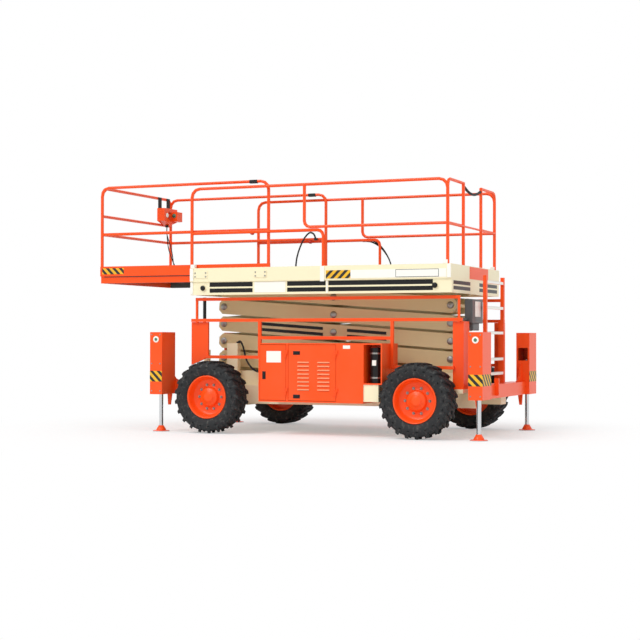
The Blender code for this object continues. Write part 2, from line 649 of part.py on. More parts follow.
def make_main_rails():
    """The rails round the main deck, open at the ladder end for the gate."""
    left, right = RAIL_X
    foot = SILL_TOP_Z + SEAT_GAP
    y = RAIL_Y
    outer = tube(rounded([(left, y, foot), (left, y, RAIL_TOP_Z), (right, y, RAIL_TOP_Z), (right, y, foot)],
                         RAIL_BEND), RAIL_RADIUS)
    upper_x, lower_x = RAIL_SPLIT_X
    upper = tube(rounded([(upper_x, y, RAIL_TOP_Z), (upper_x, y, RAIL_MID_Z), (right, y, RAIL_MID_Z)], 0.07),
                 BRANCH_RADIUS)
    lower = tube(rounded([(left, y, RAIL_LOW_MID_Z), (lower_x, y, RAIL_LOW_MID_Z), (lower_x, y, foot)], 0.07),
                 LOWER_BRANCH_RADIUS)
    gate = tube(rounded([(right, y, RAIL_TOP_Z - 0.12), (right, y, RAIL_TOP_Z),
                         (right, GATE_Y, RAIL_TOP_Z)], 0.08),
                MID_RADIUS)
    post = tube([(right, GATE_Y, foot), (right, GATE_Y, RAIL_TOP_Z + 0.01)], RAIL_RADIUS)
    middle = tube([(right, y, RAIL_MID_Z), (right, GATE_Y, RAIL_MID_Z)], MID_RADIUS)
    bar = tube([(right, -GATE_Y, RAIL_MID_Z), (right, GATE_Y, RAIL_MID_Z)], 0.012)
    solid("main_rails", "orange", both_sides(outer, upper, lower, gate, post, middle) + [bar])


def make_extension():
    """The roll-out deck: floor, side channels and toe boards; then its rails."""
    x0, x1 = EXT_X
    out = EXT_OUT_Y
    floor = box((x0, x1), (-out + 0.015, out - 0.015), EXT_FLOOR_Z)
    channel = box((x0, x1), (0.805, 0.845), (EXT_LOW_Z, EXT_FLOOR_Z[0] + 0.005))
    toe = box((x0, x1), (out - 0.025, out), (EXT_FLOOR_Z[0] + 0.002, EXT_TOE_Z))
    end_toe = box((x0, x0 + 0.025), (-out, out), (EXT_FLOOR_Z[0] + 0.002, EXT_TOE_Z))
    end_channel = box((x0, x0 + 0.04), (-0.845, 0.845), (EXT_LOW_Z, EXT_FLOOR_Z[0] + 0.005))
    solid("extension_deck", "orange", [floor, end_toe, end_channel] + both_sides(channel, toe))

    left, right = EXT_RAIL_X
    y, foot = EXT_RAIL_Y, EXT_TOE_Z + SEAT_GAP
    top = EXT_RAIL_TOP_Z
    side = tube(rounded([(left, y, foot), (left, y, top), (right, y, top), (right, y, foot)], RAIL_BEND),
                RAIL_RADIUS)
    end = tube(rounded([(left, -y, foot), (left, -y, top), (left, y, top), (left, y, foot)], RAIL_BEND),
               BRANCH_RADIUS)
    mid = tube([(left, y, EXT_RAIL_MID_Z), (right, y, EXT_RAIL_MID_Z)], MID_RADIUS)
    end_mid = tube([(left, -y, EXT_RAIL_MID_Z), (left, y, EXT_RAIL_MID_Z)], END_MID_RADIUS)
    extra = tube([(left, -y, EXT_RAIL_EXTRA_Z), (left, y, EXT_RAIL_EXTRA_Z)], END_MID_RADIUS)
    solid("extension_rails", "orange", [end, end_mid, extra] + both_sides(side, mid))


# ---------------------------------------------------------------- engine box
def hinge(x, y, z, sheet_to):
    """A butt hinge's knuckle on the Z line through (x, y), and its leaf towards sheet_to."""
    knuckle = rod((x, y, z[0]), (x, y, z[1]), HINGE_RADIUS, 8)
    leaf = box(sorted((x, sheet_to)), (y - 0.002, -BOX_OUT_Y + 0.001), z)
    return [knuckle, leaf]


# door, its hinge's X, the X of its free edge
ENGINE_DOORS = (   # name, free edge or hinge edge nearest the gap, and the other edge
    ("engine_door_small", DOOR_SEAMS_X[0] - MULLION / 2 - DOOR_GAP / 2, BOX_X[0] + BOX_SHEET + DOOR_GAP),
    ("engine_door_louvred", DOOR_SEAMS_X[1] - DOOR_GAP / 2, DOOR_SEAMS_X[0] + MULLION / 2 + DOOR_GAP))


def make_engine_box():
    """The folded-sheet box on the near side, open where its two doors close it."""
    y = (BEAM_OUT_Y + SEAT_GAP, BOX_OUT_Y)
    t = BOX_SHEET
    shell = box((BOX_X[0], RECESS_X), y, BOX_Z)
    niche = box((RECESS_X - 0.001, BOX_X[1]), y, (NICHE_LOW_Z, BOX_Z[1]))
    bay = box((BOX_X[0] + t, RECESS_X - t), (y[0] + t, y[1] - 0.024), (BOX_Z[0] + t, BOX_Z[1] - t))
    mouths = [box((x0, x1), (y[1] - 0.03, y[1] + 0.01), (BOX_Z[0] + t, BOX_Z[1] - t)) for x0, x1 in (
        (BOX_X[0] + t, DOOR_SEAMS_X[0] - MULLION / 2), (DOOR_SEAMS_X[0] + MULLION / 2, DOOR_SEAMS_X[1]))]
    recess = box((RECESS_X + 0.005, BOX_X[1] - t), (NICHE_BACK_Y, y[1] + 0.01),
                 (NICHE_LOW_Z + t, BOX_Z[1] - t))
    adds, cuts = [shell, niche], [bay, recess] + mouths
    z = (BOX_Z[0] + t + DOOR_GAP, BOX_Z[1] - t - DOOR_GAP)
    hinges = [z[0] + 0.10, z[1] - 0.10]
    knuckle_y = -BOX_OUT_Y - HINGE_PROUD
    adds, cuts = [flip_y(a) for a in adds], [flip_y(c) for c in cuts]
    for name, hinge_x, free_x in ENGINE_DOORS:
        for hinge_z in hinges:
            adds += hinge(hinge_x, knuckle_y, (hinge_z + SEAT_GAP, hinge_z + 0.04), hinge_x + 0.025)
        leaf = box((free_x, hinge_x - DOOR_GAP / 2), (-BOX_OUT_Y, -BOX_OUT_Y + DOOR_THICK), z)
        door = [leaf]
        for hinge_z in hinges:
            door += hinge(hinge_x, knuckle_y, (hinge_z - 0.04, hinge_z), hinge_x - 0.030)
        slots = []
        if name.endswith("louvred"):
            for column in LOUVRE_X:
                for row in range(LOUVRE_ROWS):
                    slot_z = LOUVRE_Z + row * LOUVRE_PITCH
                    slots.append(box(column, (-BOX_OUT_Y - 0.01, -BOX_OUT_Y + DOOR_THICK + 0.01),
                                     (slot_z, slot_z + LOUVRE_SLOT)))
        solid(name, "orange", door, slots)
    solid("engine_box", "orange", adds, cuts)

    block = box((-0.45, 0.20), (0.66, 0.98), (BOX_Z[0] + t + SEAT_GAP, 0.90))
    solid("engine_block", "steel", [flip_y(block)])
    x, foot = (RECESS_X + BOX_X[1]) / 2, NICHE_LOW_Z + t + SEAT_GAP
    solid("recess_canister", "black", [rod((x, -0.98, foot), (x, -0.98, 0.995), 0.071, 16)])
    case = box((RECESS_X + SEAT_GAP, 0.832), (0.75, 1.09), (0.400, NICHE_LOW_Z - SEAT_GAP))
    solid("recess_box", "cream", [flip_y(case)])


def make_far_box():
    """The tank box on the far side, closed, with two filler caps."""
    y = (BEAM_OUT_Y + SEAT_GAP, BOX_OUT_Y)
    shell = box((BOX_X[0], TANK_END_X), y, BOX_Z)
    caps = [rod((x, 0.90, BOX_Z[1] - 0.01), (x, 0.90, BOX_Z[1] + 0.03), 0.04) for x in (-0.40, 0.60)]
    solid("tank_box", "orange", [shell] + caps)


# ---------------------------------------------------------------- jacks and ladder
def make_jack_beam(place, end):
    """A cross beam with a hollow jack housing at each end."""
    t = HOUSING_WALL
    beam = box((JACK_BEAM_X[0], JACK_BEAM_X[1]), (-HOUSING_Y[0] - 0.01, HOUSING_Y[0] + 0.01),
               (HOUSING_Z[0], JACK_BEAM_TOP_Z))
    x = (JACK_X - HOUSING_HALF_X, JACK_X + HOUSING_HALF_X)
    housing = box(x, HOUSING_Y, HOUSING_Z)
    curve = [(HOUSING_Y[0] - 0.17, JACK_BEAM_TOP_Z - 0.01), (HOUSING_Y[0] + 0.005, JACK_BEAM_TOP_Z - 0.01),
             (HOUSING_Y[0] + 0.005, 0.82), (HOUSING_Y[0] - 0.02, 0.80)]
    for i in range(1, 5):
        turn = pi / 2 * i / 4
        curve.append((HOUSING_Y[0] - 0.17 + 0.15 * cos(turn), 0.62 + 0.18 * (1 - sin(turn)) - 0.02))
    gusset = prism(curve, "x", JACK_X - 0.04, JACK_X - 0.02)
    tab = plate_xz([(JACK_X - 0.06, 0.31), (JACK_X - 0.08, 0.45), (JACK_X - 0.02, 0.45),
                    (JACK_X - 0.03, 0.31)],
                   (0.86, 0.88))
    inside = box((x[0] + t, x[1] - t), (HOUSING_Y[0] + t, HOUSING_Y[1] - t),
                 (HOUSING_Z[0] + 0.03, HOUSING_Z[1] - t))
    window = box((x[0] + t + 0.01, x[1] - t - 0.01), (HOUSING_Y[0] - 0.01, HOUSING_Y[0] + t + 0.01),
                 (0.84, 0.99))
    bore = hole((JACK_X, JACK_Y, HOUSING_Z[0] - 0.01), (JACK_X, JACK_Y, HOUSING_Z[0] + 0.05), JACK_ROD_RADIUS)
    lug = box((JACK_BEAM_X[1] - 0.01, JACK_BEAM_X[1] + 0.04), (-0.47, -0.44), (0.47, 0.66))
    adds = [beam] + both_sides(housing, gusset, tab)
    if end > 0:
        adds.append(lug)
    cuts = both_sides(inside, window, bore)
    if end < 0:
        adds, cuts = [flip_x(s) for s in adds], [flip_x(s) for s in cuts]
    solid("jack_beam_" + place, "orange", adds, cuts)


def make_jack_leg(place, end, side):
    """A chromed jack rod with its cone foot on a round pad."""
    x = end * JACK_X
    y = side * JACK_Y
    shaft = rod((x, y, 0.03), (x, y, JACK_ROD_TOP_Z), JACK_ROD_RADIUS)
    pad = rod((x, y, 0), (x, y, 0.008), PAD_RADIUS, 24)
    cone_pts = []
    for radius, z in ((0.055, 0.006), (0.055, 0.025), (0.028, 0.068)):
        cone_pts.append([(x + radius * cos(2 * pi * k / 16), y + radius * sin(2 * pi * k / 16), z)
                         for k in range(16)])
    pts = [p for ring in cone_pts for p in ring]
    faces = [tuple(reversed(range(16))), tuple(range(32, 48))]
    faces += [(r * 16 + k, r * 16 + (k + 1) % 16, (r + 1) * 16 + (k + 1) % 16, (r + 1) * 16 + k)
              for r in range(2) for k in range(16)]
    solid("jack_leg_" + place, "chrome", [shaft, pad, (pts, faces)])


def make_ladder():
    """Two stiles and five rungs, standing on the rear jack beam."""
    foot = JACK_BEAM_TOP_Z + SEAT_GAP
    stile = box((LADDER_X - 0.02, LADDER_X + 0.02), (LADDER_Y - 0.0225, LADDER_Y + 0.0225),
                (foot, LADDER_TOP_Z))
    rungs = [box((LADDER_X - 0.015, LADDER_X + 0.015), (-LADDER_Y, LADDER_Y), (z - 0.015, z + 0.015))
             for z in LADDER_RUNGS_Z]
    solid("ladder", "orange", both_sides(stile) + rungs)


# ---------------------------------------------------------------- small pieces on the decks
def make_gate_chain():
    """The sleeved chain across the gate, hanging in a shallow curve between its posts."""
    end = GATE_Y - RAIL_RADIUS - SEAT_GAP
    half = end - 0.02
    z = RAIL_TOP_Z - 0.04
    points = [(RAIL_X[1], -end, z)]
    for i in range(11):
        y = -half + 2 * half * i / 10
        points.append((RAIL_X[1], y, z + 0.055 * ((y / half) ** 2 - 1)))
    points.append((RAIL_X[1], end, z))
    solid("gate_chain", "black", [tube(points, 0.016)])


def smooth(points, parts=4):
    """More points along a smooth curve through these ones."""
    points = [Vector(p) for p in points]
    ends = [2 * points[0] - points[1]] + points + [2 * points[-1] - points[-2]]
    path = []
    for a, b, c, d in zip(ends, ends[1:], ends[2:], ends[3:]):
        for i in range(parts):
            t = i / parts
            path.append(0.5 * (2 * b + (c - a) * t + (2 * a - 5 * b + 4 * c - d) * t ** 2
                               + (3 * b - a - 3 * c + d) * t ** 3))
    path.append(points[-1])
    return path


def make_control_box():
    """The control box on the roll-out deck's end rail, its small side box, and its two cables."""
    x = EXT_RAIL_X[0] + RAIL_RADIUS * cos(pi / RAIL_SIDES) + SEAT_GAP
    low, tip, top = 2.625, 2.575, 2.790
    y0, y1 = CONTROL_Y
    outline = [(y0, low), ((y0 + y1) / 2, tip), (y1, low), (y1, top), (y0, top)]
    body = prism(outline, "x", x, x + 0.11)
    hangers = [box((x, x + 0.012), (y - 0.035, y + 0.035), (top - 0.02, EXT_RAIL_TOP_Z + 0.01))
               for y in (y0 + 0.06, y1 - 0.06)]
    side_box = box((x + 0.10, x + 0.19), (y1 - 0.15, y1 - 0.01), (low, top - 0.04))
    solid("control_box", "red", [body, side_box] + hangers)
    middle = (y0 + y1) / 2
    foot = EXT_FLOOR_Z[1] + SEAT_GAP
    clamp = box((CABLE_FOOT_X - 0.02, CABLE_FOOT_X + 0.02), (middle - 0.06, middle + 0.02),
                (foot, foot + 0.02))
    gland = rod((x + 0.05, middle, tip - 0.025), (x + 0.05, middle, tip - SEAT_GAP), 0.022, 8)
    cables = []
    for shift in (0, 1):
        cables.append(tube(smooth([
            (x + 0.05, middle, tip - 0.02), (x + 0.052, middle, 2.45),
            (x + 0.08 + 0.04 * shift, middle, 2.25), (CABLE_FOOT_X - 0.08, middle - 0.03 * shift, 2.02),
            (CABLE_FOOT_X, middle - 0.04 * shift, foot + 0.01)],
            3), 0.007))
    solid("control_cables", "black", [clamp, gland] + cables)


def make_hoses():
    """The short hoses that the machine holds at both their ends."""
    y = 0.80
    foot = EXT_FLOOR_Z[1] + SEAT_GAP
    clamp = box((-1.045, -0.995), (y - 0.03, y + 0.03), (foot, foot + 0.02))
    rest = EXT_RAIL_Y - RAIL_RADIUS - SEAT_GAP
    loop = tube(smooth([(-1.02, y, foot + 0.01), (-1.00, y, 2.12), (-0.92, y, 2.33), (-0.83, y, 2.435),
                        (-0.77, y + 0.01, 2.42), (-0.745, rest - 0.012, EXT_RAIL_MID_Z)], 3), 0.011)
    grip = box((-0.765, -0.725), (rest - 0.025, rest), (EXT_RAIL_MID_Z - 0.015, EXT_RAIL_MID_Z + 0.015))
    solid("extension_hose", "black", [clamp, loop, grip])

    y = RAIL_Y + RAIL_RADIUS + 0.014
    top = (-0.13, 0.03)
    grip = box((-0.15, -0.10), (RAIL_Y + RAIL_RADIUS + SEAT_GAP, y + 0.01),
               (RAIL_LOW_MID_Z - 0.02, RAIL_LOW_MID_Z + 0.02))
    hoses = [tube(smooth([(-0.125, y, RAIL_LOW_MID_Z + lift), (-0.02, y, 2.315 + lift),
                          (0.10, y, 2.235 + lift * 0.7), (0.20, y, 2.09),
                          (0.255, y - 0.02, SILL_TOP_Z + 0.012)], 3), 0.009)
             for lift in (-0.010, 0.012)]
    seat = box((0.23, 0.28), (y - 0.05, y), (SILL_TOP_Z + SEAT_GAP, SILL_TOP_Z + 0.022))
    solid("deck_hoses", "black", [grip, seat] + hoses)

    end = BOX_X[0] - SEAT_GAP
    grip = box((-1.185, -1.155), (-0.54, -0.50), (1.04 + SEAT_GAP, 1.06))
    inner = end - 0.006
    hose = tube(smooth([(-1.17, -0.52, 1.055), (-1.135, -0.525, 1.057), (-1.095, -0.53, 0.98),
                        (-1.05, -0.54, 0.84), (-0.95, -0.56, 0.73), (-0.80, -0.62, 0.70),
                        (-0.70, -0.68, 0.73), (inner - 0.02, -0.70, 0.74), (inner, -0.70, 0.74)], 3), 0.012)
    flange = rod((end - 0.012, -0.70, 0.74), (end, -0.70, 0.74), 0.025, 8)
    solid("engine_hose", "black", [grip, hose, flange])


def make_safety_prop():
    """The prop that stands by the front end of the stack."""
    x, y, foot = -1.570, -0.620, 0.960 + SEAT_GAP
    rods = [rod((x, y, foot), (x, y, 1.20), 0.014, 8), rod((x, y, 1.18), (x, y, 1.585), 0.020, 8)]
    solid("safety_prop", "black", rods)


def build():
    """Makes every part."""
    for obj in list(bpy.data.objects):
        bpy.data.objects.remove(obj)
    machine = bpy.data.objects.new("machine", None)
    bpy.context.scene.collection.objects.link(machine)
    machine.location.x = -ORIGIN_X
    for place, end, side in WHEELS:
        make_wheel(place, end, side)
        make_jack_leg(place, end, side)
    make_axles()
    for place, side in (("near", -1), ("far", 1)):
        make_knuckle(place, side)
        make_guard(place, side)
    make_chassis()
    for level in range(1, LEVELS + 1):
        make_outer_arms(level)
        make_inner_arms(level)
    make_lift_cylinder()
    make_deck()
    make_main_rails()
    make_extension()
    make_engine_box()
    make_far_box()
    make_jack_beam("front", -1)
    make_jack_beam("rear", 1)
    make_ladder()
    make_gate_chain()
    make_control_box()
    make_hoses()
    make_safety_prop()


build()
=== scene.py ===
# %% [markdown]
# # Finishing a rough-terrain scissor lift
# The construction is done already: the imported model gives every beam, arm and wheel at its real size.
# This lesson gives those pieces their real surfaces and adds what is too fine for the construction:
# tyre lugs, wheel nuts, louvre hoods, pin caps, latches, warning stripes and blank plates.

# %% Load the frame
from math import cos, pi, radians, sin

import bmesh
import bpy
from mathutils import Matrix, Vector


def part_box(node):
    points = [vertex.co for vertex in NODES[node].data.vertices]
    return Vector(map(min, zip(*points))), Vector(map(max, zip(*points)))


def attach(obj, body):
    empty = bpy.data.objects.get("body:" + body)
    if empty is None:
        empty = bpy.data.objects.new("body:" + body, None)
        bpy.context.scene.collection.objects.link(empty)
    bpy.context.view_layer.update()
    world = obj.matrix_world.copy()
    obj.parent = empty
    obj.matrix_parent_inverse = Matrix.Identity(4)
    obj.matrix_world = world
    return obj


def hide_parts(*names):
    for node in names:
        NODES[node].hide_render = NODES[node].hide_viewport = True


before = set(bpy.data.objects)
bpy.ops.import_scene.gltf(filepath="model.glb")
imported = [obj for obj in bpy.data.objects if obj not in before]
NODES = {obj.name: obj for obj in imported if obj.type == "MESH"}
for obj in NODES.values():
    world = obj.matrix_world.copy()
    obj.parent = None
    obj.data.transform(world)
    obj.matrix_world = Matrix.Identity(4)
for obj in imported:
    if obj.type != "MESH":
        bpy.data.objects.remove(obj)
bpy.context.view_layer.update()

# %% [markdown]
# Places along the machine are measured from the middle of the wheelbase, because its wheels, boxes and
# deck were set out from there. The frame puts its origin elsewhere, so the middle is found from two rims.

# %% Find the middle of the wheelbase
def centre_of(node):
    """The middle of a node's box."""
    low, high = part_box(node)
    return [(a + b) / 2 for a, b in zip(low, high)]


MID_X = (centre_of("rim_front_near")[0] + centre_of("rim_rear_near")[0]) / 2
HALF_BASE = centre_of("rim_rear_near")[0] - MID_X
SIDES = (("near", -1), ("far", 1))
PLACES = (("front_near", -1, -1), ("front_far", -1, 1), ("rear_near", 1, -1), ("rear_far", 1, 1))
print("middle of the wheelbase", round(MID_X, 4), "half of it", round(HALF_BASE, 4))

# %% [markdown]
# ## Camera
# A long lens from the near rear corner, 1.1 m above the ground, keeps the upright edges nearly parallel.
# The camera is given by its place, its heading, its pitch and a trace of roll.

# %% Place the camera
def aim(heading, pitch, roll):
    """Camera axes for a heading from +Y, a pitch above level and a roll."""
    forward = Vector((-sin(heading) * cos(pitch), cos(heading) * cos(pitch), sin(pitch)))
    right = Vector((cos(heading), sin(heading), 0))
    up = right.cross(forward)
    right, up = right * cos(roll) + up * sin(roll), up * cos(roll) - right * sin(roll)
    return Matrix((right, up, -forward)).transposed().to_4x4()


camera = bpy.data.objects.new("camera", bpy.data.cameras.new("camera"))
bpy.context.scene.collection.objects.link(camera)
camera.data.lens = 80.84
camera.data.sensor_width = 36
camera.data.clip_end = 400
stand = Matrix.Translation((MID_X + 6.466, -15.882, 1.103))
camera.matrix_world = stand @ aim(radians(23.18), radians(0.721), radians(0.105))
bpy.context.scene.camera = camera
print("lens", camera.data.lens, "mm")

# %% [markdown]
# ## Materials
# Colours are picked as sRGB hex values and turned to linear by one function. One function adds a node.
# Patterns use object coordinates in metres, so a pattern's scale comes from a real size in millimetres.

# %% Colour and node helpers
def linear(hex_code):
    """An sRGB hex colour as linear RGBA."""
    parts = [int(hex_code[i:i + 2], 16) / 255 for i in (1, 3, 5)]
    return [c / 12.92 if c <= 0.04045 else ((c + 0.055) / 1.055) ** 2.4 for c in parts] + [1.0]


def add(tree, kind, sets=None, links=None):
    """Adds a node, sets its properties or inputs, and links its inputs."""
    node = tree.nodes.new(kind)
    for name, value in (sets or {}).items():
        if isinstance(name, str) and name in node.bl_rna.properties:
            setattr(node, name, value)
        else:
            node.inputs[name].default_value = value
    for name, socket in (links or {}).items():
        tree.links.new(socket, node.inputs[name])
    return node


def per_metre(size_mm):
    """The pattern scale whose features are size_mm across."""
    return 1000 / size_mm


def start(name):
    """A new material with its tree, its shader and object coordinates."""
    material = bpy.data.materials.new(name)
    material.use_nodes = True
    tree = material.node_tree
    shader = tree.nodes["Principled BSDF"]
    place = add(tree, "ShaderNodeTexCoord").outputs["Object"]
    return material, tree, shader, place


print("mid grey in linear", round(linear("#808080")[0], 3))

# %% [markdown]
# Sprayed enamel on steel has three things to see: a faint orange-peel ripple about 4 mm across, drawn at
# 9 mm so that it shows, a thin film of dust in broad soft patches, and small dull scuffs. Dust settles low
# on a machine, so its share falls with height above the ground.

# %% Sprayed enamel
def sprayed_enamel(name, colour, dust="#B9A88C", dust_share=0.30, gloss=0.34):
    """Enamel paint with ripple, dust that thins upwards and dull scuffs."""
    material, tree, shader, place = start(name)
    patches = add(tree, "ShaderNodeTexNoise", {"Scale": per_metre(420), "Detail": 5.0, "Roughness": 0.62},
                  {"Vector": place}).outputs["Fac"]
    height = add(tree, "ShaderNodeSeparateXYZ", links={0: place}).outputs["Z"]
    low = add(tree, "ShaderNodeMapRange", {"From Min": 0.2, "From Max": 1.5, "To Min": 1.0, "To Max": 0.25},
              {"Value": height}).outputs["Result"]
    share = add(tree, "ShaderNodeMapRange", {"From Min": 0.42, "From Max": 0.78, "To Max": dust_share},
                {"Value": patches}).outputs["Result"]
    film = add(tree, "ShaderNodeMath", {"operation": "MULTIPLY"}, {0: share, 1: low}).outputs[0]
    scuffs = add(tree, "ShaderNodeTexNoise", {"Scale": per_metre(35), "Detail": 8.0, "Roughness": 0.75},
                 {"Vector": place}).outputs["Fac"]
    scuff = add(tree, "ShaderNodeMapRange", {"From Min": 0.62, "From Max": 0.72, "To Max": 0.22},
                {"Value": scuffs}).outputs["Result"]
    tone = [c * 0.80 for c in linear(colour)[:3]] + [1.0]
    worn = add(tree, "ShaderNodeMix", {"data_type": "RGBA", 6: linear(colour), 7: tone},
               {0: scuff}).outputs[2]
    paint = add(tree, "ShaderNodeMix", {"data_type": "RGBA", 7: linear(dust)}, {0: film, 6: worn}).outputs[2]
    tree.links.new(paint, shader.inputs["Base Color"])
    rough = add(tree, "ShaderNodeMapRange", {"From Max": 0.25, "To Min": gloss, "To Max": gloss + 0.30},
                {"Value": add(tree, "ShaderNodeMath", {"operation": "ADD"}, {0: film, 1: scuff}).outputs[0]})
    tree.links.new(rough.outputs["Result"], shader.inputs["Roughness"])
    ripple = add(tree, "ShaderNodeTexNoise", {"Scale": per_metre(9), "Detail": 2.0}, {"Vector": place})
    bump = add(tree, "ShaderNodeBump", {"Strength": 0.10, "Distance": 0.001},
               {"Height": ripple.outputs["Fac"]}).outputs["Normal"]
    tree.links.new(bump, shader.inputs["Normal"])
    shader.inputs["Coat Weight"].default_value = 0.06
    shader.inputs["Coat Roughness"].default_value = 0.12
    shader.inputs["Specular IOR Level"].default_value = 0.28
    return material


ENAMEL = {
    "orange": sprayed_enamel("orange_enamel", "#FA5212", dust_share=0.06),
    # Painted highlight: a paler orange for light caught on the lips of the louvre hoods
    "highlight_orange": sprayed_enamel("painted_highlight_enamel", "#FF9A70", dust_share=0.06),
    "cream": sprayed_enamel("cream_enamel", "#F3EAC6", dust_share=0.18),
    "tan": sprayed_enamel("tan_enamel", "#E2D2A2", dust_share=0.35, gloss=0.42),
    "black": sprayed_enamel("black_enamel", "#0A0A0C", dust="#3A3835", dust_share=0.10),
    "white": sprayed_enamel("white_enamel", "#F3F2EA", dust_share=0.12),
    # Painted shade: a dark grey that stands for the shade under the roll-out deck
    "underside": sprayed_enamel("painted_shade_enamel", "#4A4844", dust="#6B645A", dust_share=0.4, gloss=0.6),
    "red": sprayed_enamel("red_enamel", "#C22A1C", dust_share=0.12),
    "grey": sprayed_enamel("grey_enamel", "#53585A", dust_share=0.15),
    "green": sprayed_enamel("green_enamel", "#4E7A62", dust_share=0.05),
}
print("enamels", sorted(ENAMEL))

# %% [markdown]
# Hazard tape is yellow and black bands at 45 degrees. The bands come from the sum of the coordinates, so
# that they run on round a corner. A yellow and a black band take 90 mm of the tape's length together. The
# deck's tape leans the other way.

# %% Hazard tape
BAND_PAIR_MM = 90


def hazard_tape(name, lean):
    """Yellow and black slanted bands; lean is ADD or SUBTRACT, and sets the way that they slant."""
    material, tree, shader, place = start(name)
    axes = add(tree, "ShaderNodeSeparateXYZ", links={0: place})
    flat = add(tree, "ShaderNodeMath", {"operation": "ADD"}, {0: axes.outputs["X"], 1: axes.outputs["Y"]})
    slant = add(tree, "ShaderNodeMath", {"operation": lean}, {0: flat.outputs[0], 1: axes.outputs["Z"]})
    count = add(tree, "ShaderNodeMath", {"operation": "MULTIPLY", 1: per_metre(BAND_PAIR_MM)},
                {0: slant.outputs[0]})
    turn = add(tree, "ShaderNodeMath", {"operation": "FRACT"}, {0: count.outputs[0]})
    dark = add(tree, "ShaderNodeMath", {"operation": "GREATER_THAN", 1: 0.5}, {0: turn.outputs[0]})
    grime = add(tree, "ShaderNodeTexNoise", {"Scale": per_metre(60), "Detail": 6.0}, {"Vector": place})
    yellow = add(tree, "ShaderNodeMix", {"data_type": "RGBA", 6: linear("#F7C21A"), 7: linear("#D89E14")},
                 {0: grime.outputs["Fac"]}).outputs[2]
    colour = add(tree, "ShaderNodeMix", {"data_type": "RGBA", 7: linear("#161616")},
                 {0: dark.outputs[0], 6: yellow}).outputs[2]
    tree.links.new(colour, shader.inputs["Base Color"])
    shader.inputs["Roughness"].default_value = 0.45
    return material


HAZARD = hazard_tape("hazard_tape", "ADD")
HAZARD_DECK = hazard_tape("hazard_tape_deck", "SUBTRACT")
print("bands repeat every", BAND_PAIR_MM, "mm")

# %% [markdown]
# Tyre rubber is nearly black with carbon, dull and slightly grained, and it turns grey-brown where dried
# mud stays. Hose rubber is smoother. Both are dielectrics, and their grain is drawn at 5 mm to show.

# %% Rubber
def vulcanised_rubber(name, colour, mud, mud_share, grain_mm):
    """Moulded rubber with fine grain and dried mud."""
    material, tree, shader, place = start(name)
    grain = add(tree, "ShaderNodeTexNoise", {"Scale": per_metre(grain_mm), "Detail": 6.0}, {"Vector": place})
    stain = add(tree, "ShaderNodeTexNoise", {"Scale": per_metre(45), "Detail": 7.0, "Roughness": 0.7},
                {"Vector": place})
    share = add(tree, "ShaderNodeMapRange", {"From Min": 0.52, "From Max": 0.72, "To Max": mud_share},
                {"Value": stain.outputs["Fac"]})
    mixed = add(tree, "ShaderNodeMix", {"data_type": "RGBA", 6: linear(colour), 7: linear(mud)},
                {0: share.outputs["Result"]})
    tree.links.new(mixed.outputs[2], shader.inputs["Base Color"])
    rough = add(tree, "ShaderNodeMapRange", {"To Min": 0.62, "To Max": 0.88}, {"Value": grain.outputs["Fac"]})
    tree.links.new(rough.outputs["Result"], shader.inputs["Roughness"])
    bump = add(tree, "ShaderNodeBump", {"Strength": 0.35, "Distance": 0.0015},
               {"Height": grain.outputs["Fac"]})
    tree.links.new(bump.outputs["Normal"], shader.inputs["Normal"])
    return material


TYRE = vulcanised_rubber("tyre_rubber", "#121518", "#86847E", 0.34, 5)
HOSE = vulcanised_rubber("hose_rubber", "#17181A", "#3A3936", 0.30, 5)
print("rubbers", TYRE.name, HOSE.name)

# %% [markdown]
# Bare metals: a hard-chromed rod is ground and polished along its length, so its fine lines run upright.
# Turned and zinc-plated steel is duller and patchy. The deck plate is galvanised and has raised bars.

# %% Metals
def bare_metal(name, colour, roughness, stretch, grain_mm, metallic=1.0):
    """Metal with fine lines: stretch squeezes the pattern across them."""
    material, tree, shader, place = start(name)
    mapped = add(tree, "ShaderNodeMapping", {"Scale": stretch}, {"Vector": place}).outputs[0]
    lines = add(tree, "ShaderNodeTexNoise", {"Scale": per_metre(grain_mm), "Detail": 5.0}, {"Vector": mapped})
    tint = [c * 0.82 for c in linear(colour)[:3]] + [1.0]
    mixed = add(tree, "ShaderNodeMix", {"data_type": "RGBA", 6: linear(colour), 7: tint},
                {0: lines.outputs["Fac"]})
    tree.links.new(mixed.outputs[2], shader.inputs["Base Color"])
    rough = add(tree, "ShaderNodeMapRange", {"To Min": roughness * 0.7, "To Max": roughness * 1.3},
                {"Value": lines.outputs["Fac"]})
    tree.links.new(rough.outputs["Result"], shader.inputs["Roughness"])
    bump = add(tree, "ShaderNodeBump", {"Strength": 0.12, "Distance": 0.0006},
               {"Height": lines.outputs["Fac"]})
    tree.links.new(bump.outputs["Normal"], shader.inputs["Normal"])
    shader.inputs["Metallic"].default_value = metallic
    return material


CHROME = bare_metal("hard_chrome", "#D8DADC", 0.16, (1, 1, 0.05), 6)
ZINC = bare_metal("zinc_plated_steel", "#A3A39E", 0.42, (1, 1, 1), 12)
CAST = bare_metal("turned_steel", "#7C7A76", 0.5, (1, 1, 1), 9)


